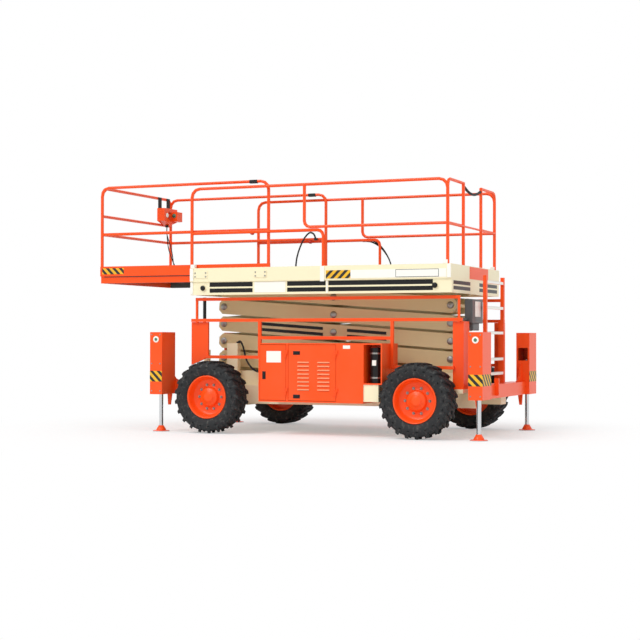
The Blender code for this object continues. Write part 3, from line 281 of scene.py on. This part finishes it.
def checker_plate():
    """Galvanised plate with raised bars, 38 mm apart."""
    material, tree, shader, place = start("galvanised_checker_plate")
    bars = add(tree, "ShaderNodeTexVoronoi", {"feature": "F1", "Scale": per_metre(38), "Randomness": 0.0},
               {"Vector": add(tree, "ShaderNodeMapping", {"Rotation": (0, 0, pi / 4), "Scale": (1, 0.45, 1)},
                              {"Vector": place}).outputs[0]})
    patches = add(tree, "ShaderNodeTexNoise", {"Scale": per_metre(240), "Detail": 7.0}, {"Vector": place})
    mixed = add(tree, "ShaderNodeMix", {"data_type": "RGBA", 6: linear("#9DA09E"), 7: linear("#767672")},
                {0: patches.outputs["Fac"]})
    tree.links.new(mixed.outputs[2], shader.inputs["Base Color"])
    raised = add(tree, "ShaderNodeMapRange",
                 {"From Min": 0.18, "From Max": 0.28, "To Min": 1.0, "To Max": 0.0},
                 {"Value": bars.outputs["Distance"]})
    bump = add(tree, "ShaderNodeBump", {"Strength": 0.7, "Distance": 0.003},
               {"Height": raised.outputs["Result"]})
    tree.links.new(bump.outputs["Normal"], shader.inputs["Normal"])
    shader.inputs["Metallic"].default_value = 0.7
    shader.inputs["Roughness"].default_value = 0.5
    return material


CHECKER = checker_plate()
print("metals", CHROME.name, ZINC.name, CAST.name, CHECKER.name)

# %% [markdown]
# ## Dressing the construction
# The construction pieces keep their shapes. Each gets its finish, and a modifier smooths round bars while
# sharp corners stay sharp. Folded sheet has a small bend radius, so box-like pieces get a fine bevel too.

# %% Smoothing by angle, as a modifier
def smooth_facets():
    """A node group that shades smooth where faces meet at under 62 degrees."""
    group = bpy.data.node_groups.new("smooth_facets", "GeometryNodeTree")
    group.interface.new_socket("Geometry", in_out="INPUT", socket_type="NodeSocketGeometry")
    group.interface.new_socket("Geometry", in_out="OUTPUT", socket_type="NodeSocketGeometry")
    shape = add(group, "NodeGroupInput").outputs[0]
    faces = add(group, "GeometryNodeSetShadeSmooth", {"domain": "FACE"}, {"Geometry": shape}).outputs[0]
    angle = add(group, "GeometryNodeInputMeshEdgeAngle").outputs["Unsigned Angle"]
    sharp = add(group, "FunctionNodeCompare", {"operation": "GREATER_THAN", 1: radians(62)}, {0: angle})
    edges = add(group, "GeometryNodeSetShadeSmooth", {"domain": "EDGE", "Shade Smooth": False},
                {"Geometry": faces, "Selection": sharp.outputs[0]}).outputs[0]
    add(group, "NodeGroupOutput", links={0: edges})
    return group


SMOOTH = smooth_facets()


def dress(node, material, bevel=0.0):
    """Gives a construction node its finish, bevel and smoothing."""
    obj = NODES[node]
    for slot in obj.material_slots:
        slot.material = material
    if bevel:
        edge = obj.modifiers.new("fold_radius", "BEVEL")
        edge.width, edge.segments, edge.limit_method, edge.angle_limit = bevel, 2, "ANGLE", radians(50)
    obj.modifiers.new("smooth_facets", "NODES").node_group = SMOOTH


# %% Which finish each construction node gets
FINISH_OF = [  # names start with, finish, bevel in metres
    ("chassis_frame", ENAMEL["cream"], 0.004), ("front_axle", ENAMEL["cream"], 0.004),
    ("rear_axle", ENAMEL["cream"], 0.004), ("steer_knuckle", CAST, 0.003),
    ("guard_rail", ENAMEL["orange"], 0.003), ("engine_box", ENAMEL["orange"], 0.003),
    ("engine_door", ENAMEL["orange"], 0.002), ("engine_block", CAST, 0.01),
    ("recess_canister", ENAMEL["black"], 0.004), ("recess_box", ENAMEL["cream"], 0.003),
    ("tank_box", ENAMEL["orange"], 0.006), ("jack_beam", ENAMEL["orange"], 0.004),
    ("jack_leg", CHROME, 0.0), ("ladder", ENAMEL["orange"], 0.003), ("safety_prop", ENAMEL["black"], 0.0),
    ("outer_arms", ENAMEL["tan"], 0.004), ("inner_arms", ENAMEL["tan"], 0.004),
    ("lift_barrel", ENAMEL["black"], 0.0), ("lift_rod", CHROME, 0.0), ("deck_hoses", HOSE, 0.0),
    ("deck", ENAMEL["cream"], 0.003), ("main_rails", ENAMEL["orange"], 0.0), ("gate_chain", HOSE, 0.0),
    ("extension_deck", ENAMEL["orange"], 0.003), ("extension_rails", ENAMEL["orange"], 0.0),
    ("control_box", ENAMEL["orange"], 0.005), ("control_cables", HOSE, 0.0),
    ("extension_hose", HOSE, 0.0), ("engine_hose", HOSE, 0.0),
]
dressed = 0
for node in NODES:
    match = next((row for row in FINISH_OF if node.startswith(row[0])), None)
    if match:
        dress(node, match[1], match[2])
        dressed += 1
print("dressed", dressed, "of", len(NODES))

# %% [markdown]
# ## Making pieces
# Added pieces are meshes from three small shape makers: blocks for plates, turned profiles for round
# things, and ribs for lugs. Each piece rides on the body that carries it on the real machine.

# %% Shape makers
def blocks(*boxes):
    """Boxes given by their x, y and z ranges; x is from the middle of the wheelbase."""
    points, faces = [], []
    for (x0, x1), (y0, y1), (z0, z1) in boxes:
        n = len(points)
        points += [(MID_X + x, y, z) for x in (x0, x1) for y in (y0, y1) for z in (z0, z1)]
        faces += [tuple(n + i for i in f) for f in ((0, 1, 3, 2), (4, 6, 7, 5), (0, 4, 5, 1), (2, 3, 7, 6),
                                                    (0, 2, 6, 4), (1, 5, 7, 3))]
    return points, faces


def ring_faces(rings, steps, closed):
    """Quads between rings of points, with end caps unless the profile closes on itself."""
    faces = []
    for r in range(rings if closed else rings - 1):
        a, b = r * steps, ((r + 1) % rings) * steps
        faces += [(a + k, a + (k + 1) % steps, b + (k + 1) % steps, b + k) for k in range(steps)]
    if not closed:
        faces += [tuple(range(steps)), tuple(range((rings - 1) * steps, rings * steps))]
    return faces


def turned(profile, centre, steps, side=-1, closed=False):
    """A profile of (radius, distance outwards) turned about the crosswise axis."""
    x, y, z = centre
    turns = [2 * pi * k / steps for k in range(steps)]
    points = [(x + r * cos(a), y + side * out, z + r * sin(a)) for r, out in profile for a in turns]
    return points, ring_faces(len(profile), steps, closed)


def joined(*shapes):
    """Several shapes as one."""
    points, faces = [], []
    for more, more_faces in shapes:
        n = len(points)
        points += more
        faces += [tuple(n + i for i in f) for f in more_faces]
    return points, faces


def piece(name, shape, material, body, bevel=0.0, smooth=False, stands_for=()):
    """A finished piece on its body."""
    mesh = bpy.data.meshes.new(name)
    mesh.from_pydata(shape[0], [], shape[1])
    shell = bmesh.new()
    shell.from_mesh(mesh)
    bmesh.ops.recalc_face_normals(shell, faces=shell.faces)
    shell.to_mesh(mesh)
    shell.free()
    mesh.materials.append(material)
    obj = bpy.data.objects.new(name, mesh)
    bpy.context.scene.collection.objects.link(obj)
    if bevel:
        edge = obj.modifiers.new("edge", "BEVEL")
        edge.width, edge.segments, edge.limit_method = bevel, 2, "ANGLE"
    if smooth:
        obj.modifiers.new("smooth_facets", "NODES").node_group = SMOOTH
    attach(obj, body)
    if stands_for:
        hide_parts(*stands_for)
    return obj


print("shape makers ready")

# %% [markdown]
# ## Tyres
# A rough-terrain tyre has two rows of heavy bars, set half a pitch apart, that start near the crown,
# slant outwards and run down over the shoulder. The casing is turned, and each bar is a rib of four
# sections that follows it. The bars' tips lie at the tyre's full radius, where the wheel meets the ground.

# %% Tyre casing and lugs
TIP_RADIUS = (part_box("tyre_rear_near")[1][2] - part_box("tyre_rear_near")[0][2]) / 2
LUGS = 21                # bars in each of the two rows
TIP_SHARE = 0.78         # a bar's width at its tip, as a share of its root
CASING = [(0.2505, 0.125), (0.272, 0.141), (0.305, 0.152), (0.342, 0.1545), (0.372, 0.150), (0.388, 0.137),
          (0.394, 0.10), (0.396, 0.05)]
CASING = CASING + [(0.396, 0.0)] + [(r, -out) for r, out in reversed(CASING)]
LUG_SECTIONS = [  # distance outwards, root radius, tip radius, half width, shift round the wheel (radians)
    (-0.012, 0.388, TIP_RADIUS - 0.001, 0.050, 0.00), (0.075, 0.386, TIP_RADIUS, 0.054, 0.10),
    (0.138, 0.372, TIP_RADIUS - 0.006, 0.056, 0.17), (0.1545, 0.346, TIP_RADIUS - 0.034, 0.050, 0.18),
    (0.1545, 0.330, 0.346, 0.040, 0.18),
]


def lug(centre, angle, side, row):
    """One slanted bar of the tread."""
    x, y, z = centre
    points = []
    for out, root, tip, half, shift in LUG_SECTIONS:
        for radius, turn in ((root, -half), (tip, -half * TIP_SHARE), (tip, half * TIP_SHARE), (root, half)):
            a = angle + row * shift + turn
            points.append((x + radius * cos(a), y + side * row * out, z + radius * sin(a)))
    faces = [(0, 1, 2, 3), tuple(range(len(points) - 4, len(points)))]
    for s in range(len(LUG_SECTIONS) - 1):
        faces += [(4 * s + k, 4 * s + (k + 1) % 4, 4 * s + 4 + (k + 1) % 4, 4 * s + 4 + k) for k in range(4)]
    return points, faces


for place, end, side in PLACES:
    hub = centre_of("tyre_" + place)
    bars = [lug(hub, 2 * pi * (k + (0.5 if row > 0 else 0.0)) / LUGS, side, row)
            for k in range(LUGS) for row in (-1, 1)]
    piece("lugged_tyre_" + place, joined(turned(CASING, hub, 84, side, True), *bars), TYRE, "wheel_" + place,
          bevel=0.003, smooth=True, stands_for=("tyre_" + place,))
print("lugs on a tyre", 2 * LUGS, "tip radius", round(TIP_RADIUS, 3))

# %% [markdown]
# ## Rims
# The rims are deep dishes pressed from plate: a rolled lip, a tapering well, a flat disc with nuts, and a
# hub that stands out of it with a domed cap.

# %% Rims, nuts and hub caps
RIM_BACK = [(0.001, -0.060), (0.100, -0.060), (0.120, 0.000), (0.228, 0.002), (0.233, -0.114)]
RIM_FRONT = [(0.2498, -0.118), (0.2498, 0.118), (0.2498, 0.129), (0.246, 0.133), (0.239, 0.133),
             (0.233, 0.125), (0.228, 0.112), (0.222, 0.085), (0.213, 0.045), (0.200, 0.031),
             (0.150, 0.025), (0.118, 0.030), (0.111, 0.038), (0.107, 0.066), (0.100, 0.074),
             (0.062, 0.076), (0.057, 0.086), (0.045, 0.092), (0.001, 0.094)]
NUT_CIRCLE = 0.143
NUTS = 10


def round_boss(centre, radius, depth, side, steps=24):
    """A low disc with a rounded rim that stands outwards from a face."""
    edge = min(radius, depth) * 0.35
    return turned([(radius, -0.002), (radius, depth - edge), (radius - edge, depth), (0.001, depth)],
                  centre, steps, side)


for place, end, side in PLACES:
    hub = centre_of("tyre_" + place)
    piece("dished_rim_" + place, turned(RIM_BACK + RIM_FRONT, hub, 72, side), ENAMEL["orange"],
          "wheel_" + place, smooth=True, stands_for=("rim_" + place,))
    nuts = []
    for k in range(NUTS):
        a = 2 * pi * k / NUTS
        seat = (hub[0] + NUT_CIRCLE * cos(a), hub[1] + side * 0.026, hub[2] + NUT_CIRCLE * sin(a))
        nuts += [round_boss(seat, 0.017, 0.004, side, 16), round_boss(seat, 0.012, 0.018, side, 6)]
    piece("wheel_nuts_" + place, joined(*nuts), ZINC, "wheel_" + place)
print("nuts on a wheel", NUTS)

# %% [markdown]
# ## Deck side
# The deck's lower beam carries two black stripes with a pale blank panel between them, black pivot
# bosses and upright dividers. The sill over it has bolted bracket plates, a pale cover strip with a
# hazard block, and sockets for the rail posts. They are thin painted plates on the beam's face.

# %% Stripes, panels and sockets on the deck
BEAM_FACE_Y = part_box("deck")[1][1] - 0.015
SILL_FACE_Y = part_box("deck")[1][1]
SKIN = 0.0015


def on_face(face_y, side, x, z, proud=SKIN):
    """A plate that stands proud of a side face."""
    y = sorted((side * (face_y - 0.0004), side * (face_y + proud)))
    return x, tuple(y), z


for name, side in SIDES:
    stripes = [on_face(BEAM_FACE_Y, side, x, z) for x in ((-1.347, -0.789), (-0.35, 0.128), (0.162, 1.405))
               for z in ((1.700, 1.752), (1.632, 1.680))]
    piece("deck_stripes_" + name, blocks(*stripes), ENAMEL["black"], "platform")
    piece("deck_panel_" + name, blocks(on_face(BEAM_FACE_Y, side, (-0.765, -0.372), (1.628, 1.752), 0.003),
                                       on_face(BEAM_FACE_Y, side, (0.136, 0.154), (1.612, 1.756), 0.006),
                                       on_face(BEAM_FACE_Y, side, (-1.600, -1.566), (1.612, 1.756), 0.008),
                                       on_face(SILL_FACE_Y, side, (0.437, 1.565), (1.775, 1.868), 0.003)),
          ENAMEL["white"], "platform", bevel=0.001)
    piece("deck_hazard_" + name, blocks(on_face(SILL_FACE_Y, side, (0.137, 0.4365), (1.775, 1.868), 0.003)),
          HAZARD_DECK, "platform", bevel=0.001)
    piece("plate_border_" + name, blocks(on_face(SILL_FACE_Y, side, (0.975, 1.478), (1.779, 1.866), 0.0038)),
          ENAMEL["grey"], "platform")
    piece("deck_blank_plate_" + name,
          blocks(on_face(SILL_FACE_Y, side, (0.981, 1.472), (1.785, 1.860), 0.0048)),
          ENAMEL["white"], "platform")
    ends = [on_face(SILL_FACE_Y, side, x, (low, 1.917), 0.007)
            for x, low in (((-1.600, -1.556), 1.768), ((0.066, 0.118), 1.745), ((1.572, 1.618), 1.768))]
    piece("sill_end_blocks_" + name, blocks(*ends), ENAMEL["white"], "platform", bevel=0.002)
    bosses = [round_boss((MID_X + x, side * (SILL_FACE_Y - 0.001), 1.685), 0.031, 0.006, side)
              for x in (-1.431, 1.431)]
    piece("deck_pivot_caps_" + name, joined(*bosses), ENAMEL["black"], "platform", smooth=True)
    plates = [on_face(SILL_FACE_Y, side, x, (1.800, 1.884), 0.006)
              for x in ((-1.552, -1.367), (-0.763, -0.604))]
    piece("sill_plates_" + name, blocks(*plates), ENAMEL["cream"], "platform", bevel=0.0015)
    bolts = [round_boss((MID_X + x, side * (SILL_FACE_Y + 0.006), z), 0.010, 0.006, side, 6)
             for x in (-1.530, -1.390, -0.745, -0.622) for z in (1.820, 1.864)]
    piece("sill_bolts_" + name, joined(*bolts), ZINC, "platform")
print("stripe faces at", round(BEAM_FACE_Y, 3), round(SILL_FACE_Y, 3))

# %% Stripes on the deck's ladder end
DECK_END_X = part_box("deck")[1][0] - MID_X
end_stripes = [((DECK_END_X - 0.0004, DECK_END_X + SKIN), y, z) for y in ((-0.855, -0.24), (0.117, 0.84))
               for z in ((1.700, 1.740), (1.640, 1.680))]
piece("deck_end_stripes", blocks(*end_stripes), ENAMEL["black"], "platform")
piece("gate_toe_panel", blocks(((DECK_END_X - 0.0004, DECK_END_X + 0.004), (-0.26, 0.456), (1.776, 1.914))),
      ENAMEL["orange"], "platform", bevel=0.001)
print("deck end at", round(DECK_END_X, 3), "from the middle")

# %% [markdown]
# ## Floors
# The decks are floored in galvanised plate with raised bars, so that boots grip in the wet. The main
# deck's plate is laid where the roll-out deck doesn't slide.

# %% Floor plates
MAIN_FLOOR_Z, ROLL_OUT_FLOOR_Z = 1.820, 1.862
for name, x, half_y, z, body in (("main_floor_plate", (-0.585, 1.570), 0.785, MAIN_FLOOR_Z, "platform"),
                                 ("roll_out_floor_plate", (-2.845, -0.615), 0.835, ROLL_OUT_FLOOR_Z,
                                  "extension")):
    piece(name, blocks((x, (-half_y, half_y), (z - 0.0004, z + 0.002))), CHECKER, body,
          bevel=0.0005)
print("floors at", MAIN_FLOOR_Z, ROLL_OUT_FLOOR_Z)

# %% [markdown]
# ## Roll-out deck
# Its toe board carries a short hazard stripe near the end. Its floor's underside, the inner sides and bottoms
# of its channels and the gap under the toe board carry a dark grey skin: painted shade, with some dust on it.
# Its rails carry black guide blocks and red lock knobs.

# %% Hazard stripe, painted shade under the floor, guides and knobs
TOE_FACE_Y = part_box("extension_deck")[1][1]
for name, side in SIDES:
    piece("toe_hazard_" + name, blocks(on_face(TOE_FACE_Y, side, (-2.845, -2.543), (1.872, 1.945), 0.002)),
          HAZARD, "extension")
CHANNEL_IN_Y, CHANNEL_OUT_Y, CHANNEL_LOW_Z = 0.805, 0.845, 1.763
RUN = (-2.830, -0.604)
# Dark grey skins painted as shade: under the floor, in the gap under the toe board, and on the channels'
# inner sides and bottoms
shade_skins = [(RUN, (-0.800, 0.800), (1.8445, 1.8464))]
for side in (-1, 1):
    shade_skins += [on_face(CHANNEL_OUT_Y, side, RUN, (1.836, 1.8455), 0.0015),      # the gap under the toe board
               (RUN, tuple(sorted((side * (CHANNEL_IN_Y - 0.0015), side * (CHANNEL_IN_Y + 0.0004)))),
                (CHANNEL_LOW_Z + 0.0005, 1.8440)),
               (RUN, tuple(sorted((side * CHANNEL_IN_Y, side * CHANNEL_OUT_Y))),
                (CHANNEL_LOW_Z - 0.0015, CHANNEL_LOW_Z + 0.0004))]
piece("roll_out_underside", blocks(*shade_skins), ENAMEL["underside"], "extension")
ROLL_OUT_RAIL_Y, ROLL_OUT_RAIL_Z = 0.851, 2.922
for name, side in SIDES:
    y = tuple(sorted((side * (ROLL_OUT_RAIL_Y - 0.0225), side * (ROLL_OUT_RAIL_Y + 0.0225))))
    guide = ((-0.860, -0.760), y, (ROLL_OUT_RAIL_Z - 0.0225, ROLL_OUT_RAIL_Z + 0.018))
    piece("rail_guide_" + name, blocks(guide), HOSE, "extension", bevel=0.006)
    seat = (MID_X - 0.83, side * (ROLL_OUT_RAIL_Y - 0.004), 2.322)
    knob = [round_boss(seat, 0.021, 0.022, way) for way in (side, -side)]
    piece("lock_knob_" + name, joined(*knob), ENAMEL["red"], "extension", smooth=True)
print("toe board face", round(TOE_FACE_Y, 3))

# %% [markdown]
# ## Engine box
# Each slot of the louvred door has a pressed hood over it that sheds rain. The doors close with paddle
# latches. The plates are blank, because what they say belongs to the owner.

# %% Louvre hoods
DOOR_FACE_Y = 1.100
LOUVRE_COLUMNS = ((-0.138, 0.003), (0.107, 0.253))
LOUVRE_ROWS, LOUVRE_LOW_Z, LOUVRE_PITCH = 8, 0.512, 0.044


def hood(x, z):
    """A pressed hood: closed at its top and sides, and standing out at its lower lip."""
    face, lip = -DOOR_FACE_Y + 0.0006, -DOOR_FACE_Y - 0.010
    outline = ((face, z + 0.017), (face, z + 0.004), (lip, z + 0.003), (lip - 0.0015, z + 0.005),
               (face - 0.002, z + 0.017))
    points = [(MID_X + px, y, pz) for px in x for y, pz in outline]
    n = len(outline)
    return points, [tuple(range(n)), tuple(range(n, 2 * n))] + [(k, (k + 1) % n, n + (k + 1) % n, n + k)
                                                                for k in range(n)]


hoods = [hood(x, LOUVRE_LOW_Z + row * LOUVRE_PITCH) for x in LOUVRE_COLUMNS for row in range(LOUVRE_ROWS)]
# The hoods take the paler orange as a painted highlight, where light catches their lips.
piece("louvre_hoods", joined(*hoods), ENAMEL["highlight_orange"], "engine_door_louvred",
      bevel=0.001)
print("hoods", len(hoods))

# %% Latches and plates on the box
LATCHES = [  # body, x, z, half width, half height
    ("engine_door_louvred", -0.150, 0.935, 0.042, 0.021),
    ("engine_door_louvred", -0.150, 0.445, 0.042, 0.021),
    ("engine_door_small", -0.555, 0.680, 0.021, 0.044),
]
LATCH_DEPTH, PADDLE_SHARE = 0.004, 0.6       # the paddle stands on its cup, and is smaller than it
for number, (body, x, z, wide, high) in enumerate(LATCHES, 1):
    cup = on_face(DOOR_FACE_Y, -1, (x - wide, x + wide), (z - high, z + high), LATCH_DEPTH)
    piece("latch_cup_%d" % number, blocks(cup), ENAMEL["black"], body, bevel=0.003)
    wide, high = wide * PADDLE_SHARE, high * PADDLE_SHARE
    paddle = on_face(DOOR_FACE_Y + LATCH_DEPTH, -1, (x - wide, x + wide), (z - high, z + high), LATCH_DEPTH)
    piece("latch_paddle_%d" % number, blocks(paddle), ENAMEL["black"], body, bevel=0.0015)
piece("door_blank_plate", blocks(on_face(DOOR_FACE_Y, -1, (-0.524, -0.343), (0.826, 0.955))), ENAMEL["white"],
      "engine_door_small")
piece("box_blank_plate", blocks(on_face(DOOR_FACE_Y, -1, (0.415, 0.500), (0.985, 1.022))), ENAMEL["white"],
      "chassis")
can_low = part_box("recess_canister")[0]
can_middle = centre_of("recess_canister")
can_x = can_middle[0] - MID_X
piece("canister_plate", blocks(((can_x - 0.024, can_x + 0.024), (can_low[1] - 0.0012, can_low[1] + 0.004),
                                (0.80, 0.86))),
      ENAMEL["white"], "chassis")
clamps = []
for z in (0.05, 0.32):      # above the canister's foot
    band = [(0.0705, z), (0.0715, z + 0.004), (0.0715, z + 0.014), (0.0705, z + 0.018)]
    points, faces = turned(band, (0, 0, 0), 40, 1)
    clamps.append(([(can_middle[0] + p[0], can_middle[1] + p[2], can_low[2] + p[1]) for p in points], faces))
piece("canister_bands", joined(*clamps), ZINC, "chassis", smooth=True)
print("latches", len(LATCHES))

# %% [markdown]
# ## Levelling jacks
# Each housing has a hazard band low down, a round white marker near its top and bolts. The leg is chromed
# but its foot is painted, so a painted skin goes over each foot.

# %% Jack dress
HOUSING_FACE_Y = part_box("jack_beam_rear")[1][1]
JACK_X = centre_of("jack_leg_rear_near")[0] - MID_X
HOUSING_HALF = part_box("jack_beam_rear")[1][0] - MID_X - JACK_X
HAZARD_Z = (0.590, 0.715)
HAZARD_IN_Y = 0.80           # the band stops here on the housing's end face
FOOT_Y = 0.99
FOOT = [  # radius, height
    (0.0980, 0.0005), (0.0990, 0.003), (0.0990, 0.0085), (0.0960, 0.011), (0.0600, 0.0125),
    (0.0560, 0.027), (0.0300, 0.070), (0.0262, 0.0705),
]
for place, end, side in PLACES:
    x = end * JACK_X
    inner_x, outer_x = x - end * HOUSING_HALF, x + end * HOUSING_HALF
    across = tuple(sorted((inner_x, outer_x)))
    skin_x = tuple(sorted((outer_x - end * 0.0004, outer_x + end * SKIN)))
    y = tuple(sorted((side * HAZARD_IN_Y, side * HOUSING_FACE_Y)))
    piece("housing_hazard_" + place, blocks(on_face(HOUSING_FACE_Y, side, across, HAZARD_Z),
                                            (skin_x, y, HAZARD_Z)), HAZARD, "chassis")
    seat = (MID_X + x, side * HOUSING_FACE_Y, 1.085)
    piece("marker_disc_" + place, round_boss(seat, 0.037, 0.003, side, 32), ENAMEL["white"], "chassis",
          smooth=True)
    top = (seat[0], seat[1] + side * 0.003, seat[2])
    piece("marker_centre_" + place, round_boss(top, 0.019, 0.002, side, 24), ENAMEL["green"], "chassis",
          smooth=True)
    bolts = [round_boss((MID_X + x + dx, side * HOUSING_FACE_Y, z), 0.009, 0.007, side, 6)
             for dx in (-0.055, 0.055) for z in (0.48, 0.80, 1.14)]
    piece("housing_bolts_" + place, joined(*bolts), ZINC, "chassis")
    points, faces = turned(FOOT, (0, 0, 0), 48, 1)
    standing = ([(MID_X + x + p[0], side * FOOT_Y + p[2], p[1]) for p in points], faces)
    piece("painted_foot_" + place, standing, ENAMEL["orange"], "jack_" + place, smooth=True)
print("jacks at", round(JACK_X, 3))

# %% [markdown]
# ## Scissor stack
# Every pin ends in a round cap held by a bolt. The third pair of outer arms carries two black stripes that
# follow the arm's slope.

# %% Pin caps and arm stripes
LEVELS, STRIPED_LEVEL = 5, 3
STACK_FACE_Y = 0.380
PIN_REACH = 1.4313           # from the machine's middle to the pins at the arms' ends
BASE_PIN_Z, PIN_RISE = 0.660, 0.205
for level in range(1, LEVELS + 1):
    caps = []
    for x, rise in ((PIN_REACH, level - 1), (0, level - 0.5), (-PIN_REACH, level)):
        for side in (-1, 1):
            seat = (MID_X + x, side * STACK_FACE_Y, BASE_PIN_Z + rise * PIN_RISE)
            caps += [round_boss(seat, 0.040, 0.0135, side, 32)]
    piece("pin_caps_%d" % level, joined(*caps), ZINC, "outer_%d" % level, smooth=True)


def sloped_band(x0, x1, level, lift, half, side):
    """A thin band along an outer arm's face, following its slope."""
    points = []
    for y in (STACK_FACE_Y - 0.0004, STACK_FACE_Y + SKIN):
        for x in (x0, x1):
            middle = BASE_PIN_Z + (level - 0.5) * PIN_RISE - x * PIN_RISE / (2 * PIN_REACH) + lift
            points += [(MID_X + x, side * y, middle - half), (MID_X + x, side * y, middle + half)]
    return points, [(0, 1, 3, 2), (4, 6, 7, 5), (0, 4, 5, 1), (2, 3, 7, 6), (0, 2, 6, 4), (1, 5, 7, 3)]


bands = [sloped_band(x0, x1, STRIPED_LEVEL, lift, 0.018, side) for x0, x1 in ((-0.925, -0.134), (0.170, 0.66))
         for lift in (-0.034, 0.034) for side in (-1, 1)]
piece("arm_stripes", joined(*bands), ENAMEL["black"], "outer_%d" % STRIPED_LEVEL)
print("pin caps on", LEVELS, "levels")

# %% [markdown]
# ## Rails and ladder
# Rail posts stand in pale sockets on the sill. Each of the ladder's rungs has a white strip over its top and
# its outer face.

# %% Sockets and rungs
RAIL_Y = 0.905
for name, side in SIDES:
    y = tuple(sorted((side * (RAIL_Y - 0.029), side * (RAIL_Y + 0.029))))
    sockets = [((x - 0.027, x + 0.027), y, (1.921, 1.965)) for x in (-1.570, 1.549)]
    piece("rail_sockets_" + name, blocks(*sockets), ENAMEL["white"], "platform", bevel=0.004)
LADDER_X = centre_of("ladder")[0] - MID_X
RUNGS_Z, TREAD_Y = (0.700, 0.865, 1.165, 1.450, 1.740), (-0.325, 0.325)
treads = [((LADDER_X - 0.0165, LADDER_X + 0.0165), TREAD_Y, (z + 0.0146, z + 0.0175)) for z in RUNGS_Z]
faces_out = [((LADDER_X + 0.0146, LADDER_X + 0.0165), TREAD_Y, (z - 0.0145, z + 0.016)) for z in RUNGS_Z]
piece("rung_treads", blocks(*treads, *faces_out), ENAMEL["white"], "chassis")
print("ladder at", round(LADDER_X, 3))

# %% [markdown]
# ## Control box
# The operator's box has a sloping face with a pale gauge, and its small side box has a green dial.

# %% Control box dress
box_low, box_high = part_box("control_box")


def facing_front(centre_y, centre_z, radius, depth, steps=28):
    """A low disc on the box's inner face, which looks along the machine."""
    points, faces = round_boss((0, 0, 0), radius, depth, 1, steps)
    return [(box_low[0] + 0.11 + p[1], centre_y + p[0], centre_z + p[2]) for p in points], faces


piece("control_gauge", facing_front(0.53, 2.70, 0.030, 0.006), ENAMEL["white"], "extension",
      smooth=True)
buttons = [facing_front(0.585, z, 0.016, 0.014) for z in (2.735, 2.665)]
piece("control_dial", joined(*buttons), ENAMEL["red"], "extension", smooth=True)
dial_seat = (box_low[0] + 0.145, box_high[1] - 0.150, 2.700)
dial = [round_boss(dial_seat, radius, depth, -1) for radius, depth in ((0.028, 0.004), (0.014, 0.016))]
piece("side_box_dial", joined(*dial), ENAMEL["green"], "extension", smooth=True)
sleeves = [((box_low[0] - 0.001 - MID_X, box_low[0] + 0.014 - MID_X), (y - 0.037, y + 0.037), (2.793, 2.934))
           for y in (box_low[1] + 0.060, box_high[1] - 0.060)]
piece("hanger_sleeves", blocks(*sleeves), HOSE, "extension", bevel=0.003)
print("control box from", [round(v, 3) for v in box_low])

# %% [markdown]
# ## Ground controls
# A second, plain box is held out from the rear guard post, where someone on the ground can reach it.

# %% Ground control box
piece("ground_control_box", blocks(((1.666, 1.758), (-0.600, -0.200), (1.270, 1.540)),
                                   ((1.680, 1.745), (-0.540, -0.300), (1.190, 1.272)),
                                   ((1.676, 1.704), (-0.834, -0.590), (1.300, 1.328))),
      ENAMEL["grey"], "chassis", bevel=0.008)
piece("ground_control_plate", blocks(((1.7576, 1.7600), (-0.500, -0.300), (1.345, 1.515))), ENAMEL["white"],
      "chassis")
print("ground controls at", 1.758, "from the middle")

# %% [markdown]
# ## Floor, light and background
# A plain pale floor keeps the machine's shadow and fades to white further out, by distance from the
# machine. A wide soft sun and an even sky light it at a level where colours render about as written.
# What the camera, glossy and clear rays see behind the machine is white.

# %% Studio
def studio_floor():
    """Pale floor that fades to plain white away from the machine."""
    material, tree, shader, place = start("studio_floor")
    shader.inputs["Base Color"].default_value = linear("#FAFAFA")
    shader.inputs["Roughness"].default_value = 0.95
    far = add(tree, "ShaderNodeVectorMath", {"operation": "LENGTH"}, {0: place}).outputs["Value"]
    fade = add(tree, "ShaderNodeMapRange", {"From Min": 2.2, "From Max": 4.6, "To Min": 0.35}, {"Value": far})
    rays = add(tree, "ShaderNodeLightPath")
    seen = add(tree, "ShaderNodeMath", {"operation": "MULTIPLY"},
               {0: fade.outputs["Result"], 1: rays.outputs["Is Camera Ray"]})
    white = add(tree, "ShaderNodeEmission", {"Color": (1, 1, 1, 1), "Strength": 1.0})
    both = add(tree, "ShaderNodeMixShader",
               links={0: seen.outputs[0], 1: shader.outputs[0], 2: white.outputs[0]})
    tree.links.new(both.outputs[0], tree.nodes["Material Output"].inputs["Surface"])
    return material


floor_mesh = bpy.data.meshes.new("studio_floor")
floor_mesh.from_pydata([(-90, -90, 0), (90, -90, 0), (90, 90, 0), (-90, 90, 0)], [], [(0, 1, 2, 3)])
floor_mesh.materials.append(studio_floor())
floor = bpy.data.objects.new("studio_floor", floor_mesh)
bpy.context.scene.collection.objects.link(floor)

world = bpy.data.worlds.new("studio")
bpy.context.scene.world = world
world.use_nodes = True
sky = world.node_tree
ray = add(sky, "ShaderNodeLightPath")
direct = add(sky, "ShaderNodeMath", {"operation": "MAXIMUM"},
             {0: ray.outputs["Is Camera Ray"], 1: ray.outputs["Is Transmission Ray"]})
seen = add(sky, "ShaderNodeMath", {"operation": "MAXIMUM"},
           {0: direct.outputs[0], 1: ray.outputs["Is Glossy Ray"]})
strength = add(sky, "ShaderNodeMapRange", {"To Min": 0.66, "To Max": 1.0}, {"Value": seen.outputs[0]})
background = sky.nodes["Background"]
background.inputs["Color"].default_value = (1, 1, 1, 1)
sky.links.new(strength.outputs["Result"], background.inputs["Strength"])

SUNS = (("key_sun", 1.45, 32, 42, -28), ("fill_sun", 0.35, 60, 55, 50))  # strength, softness, tilt, heading
for name, power, softness, tilt, heading in SUNS:
    lamp = bpy.data.lights.new(name, "SUN")
    lamp.energy, lamp.angle = power, radians(softness)
    sun = bpy.data.objects.new(name, lamp)
    sun.rotation_euler = (radians(tilt), 0, radians(heading))
    bpy.context.scene.collection.objects.link(sun)
bpy.context.scene.view_settings.view_transform = "Standard"
print("suns", len(SUNS))
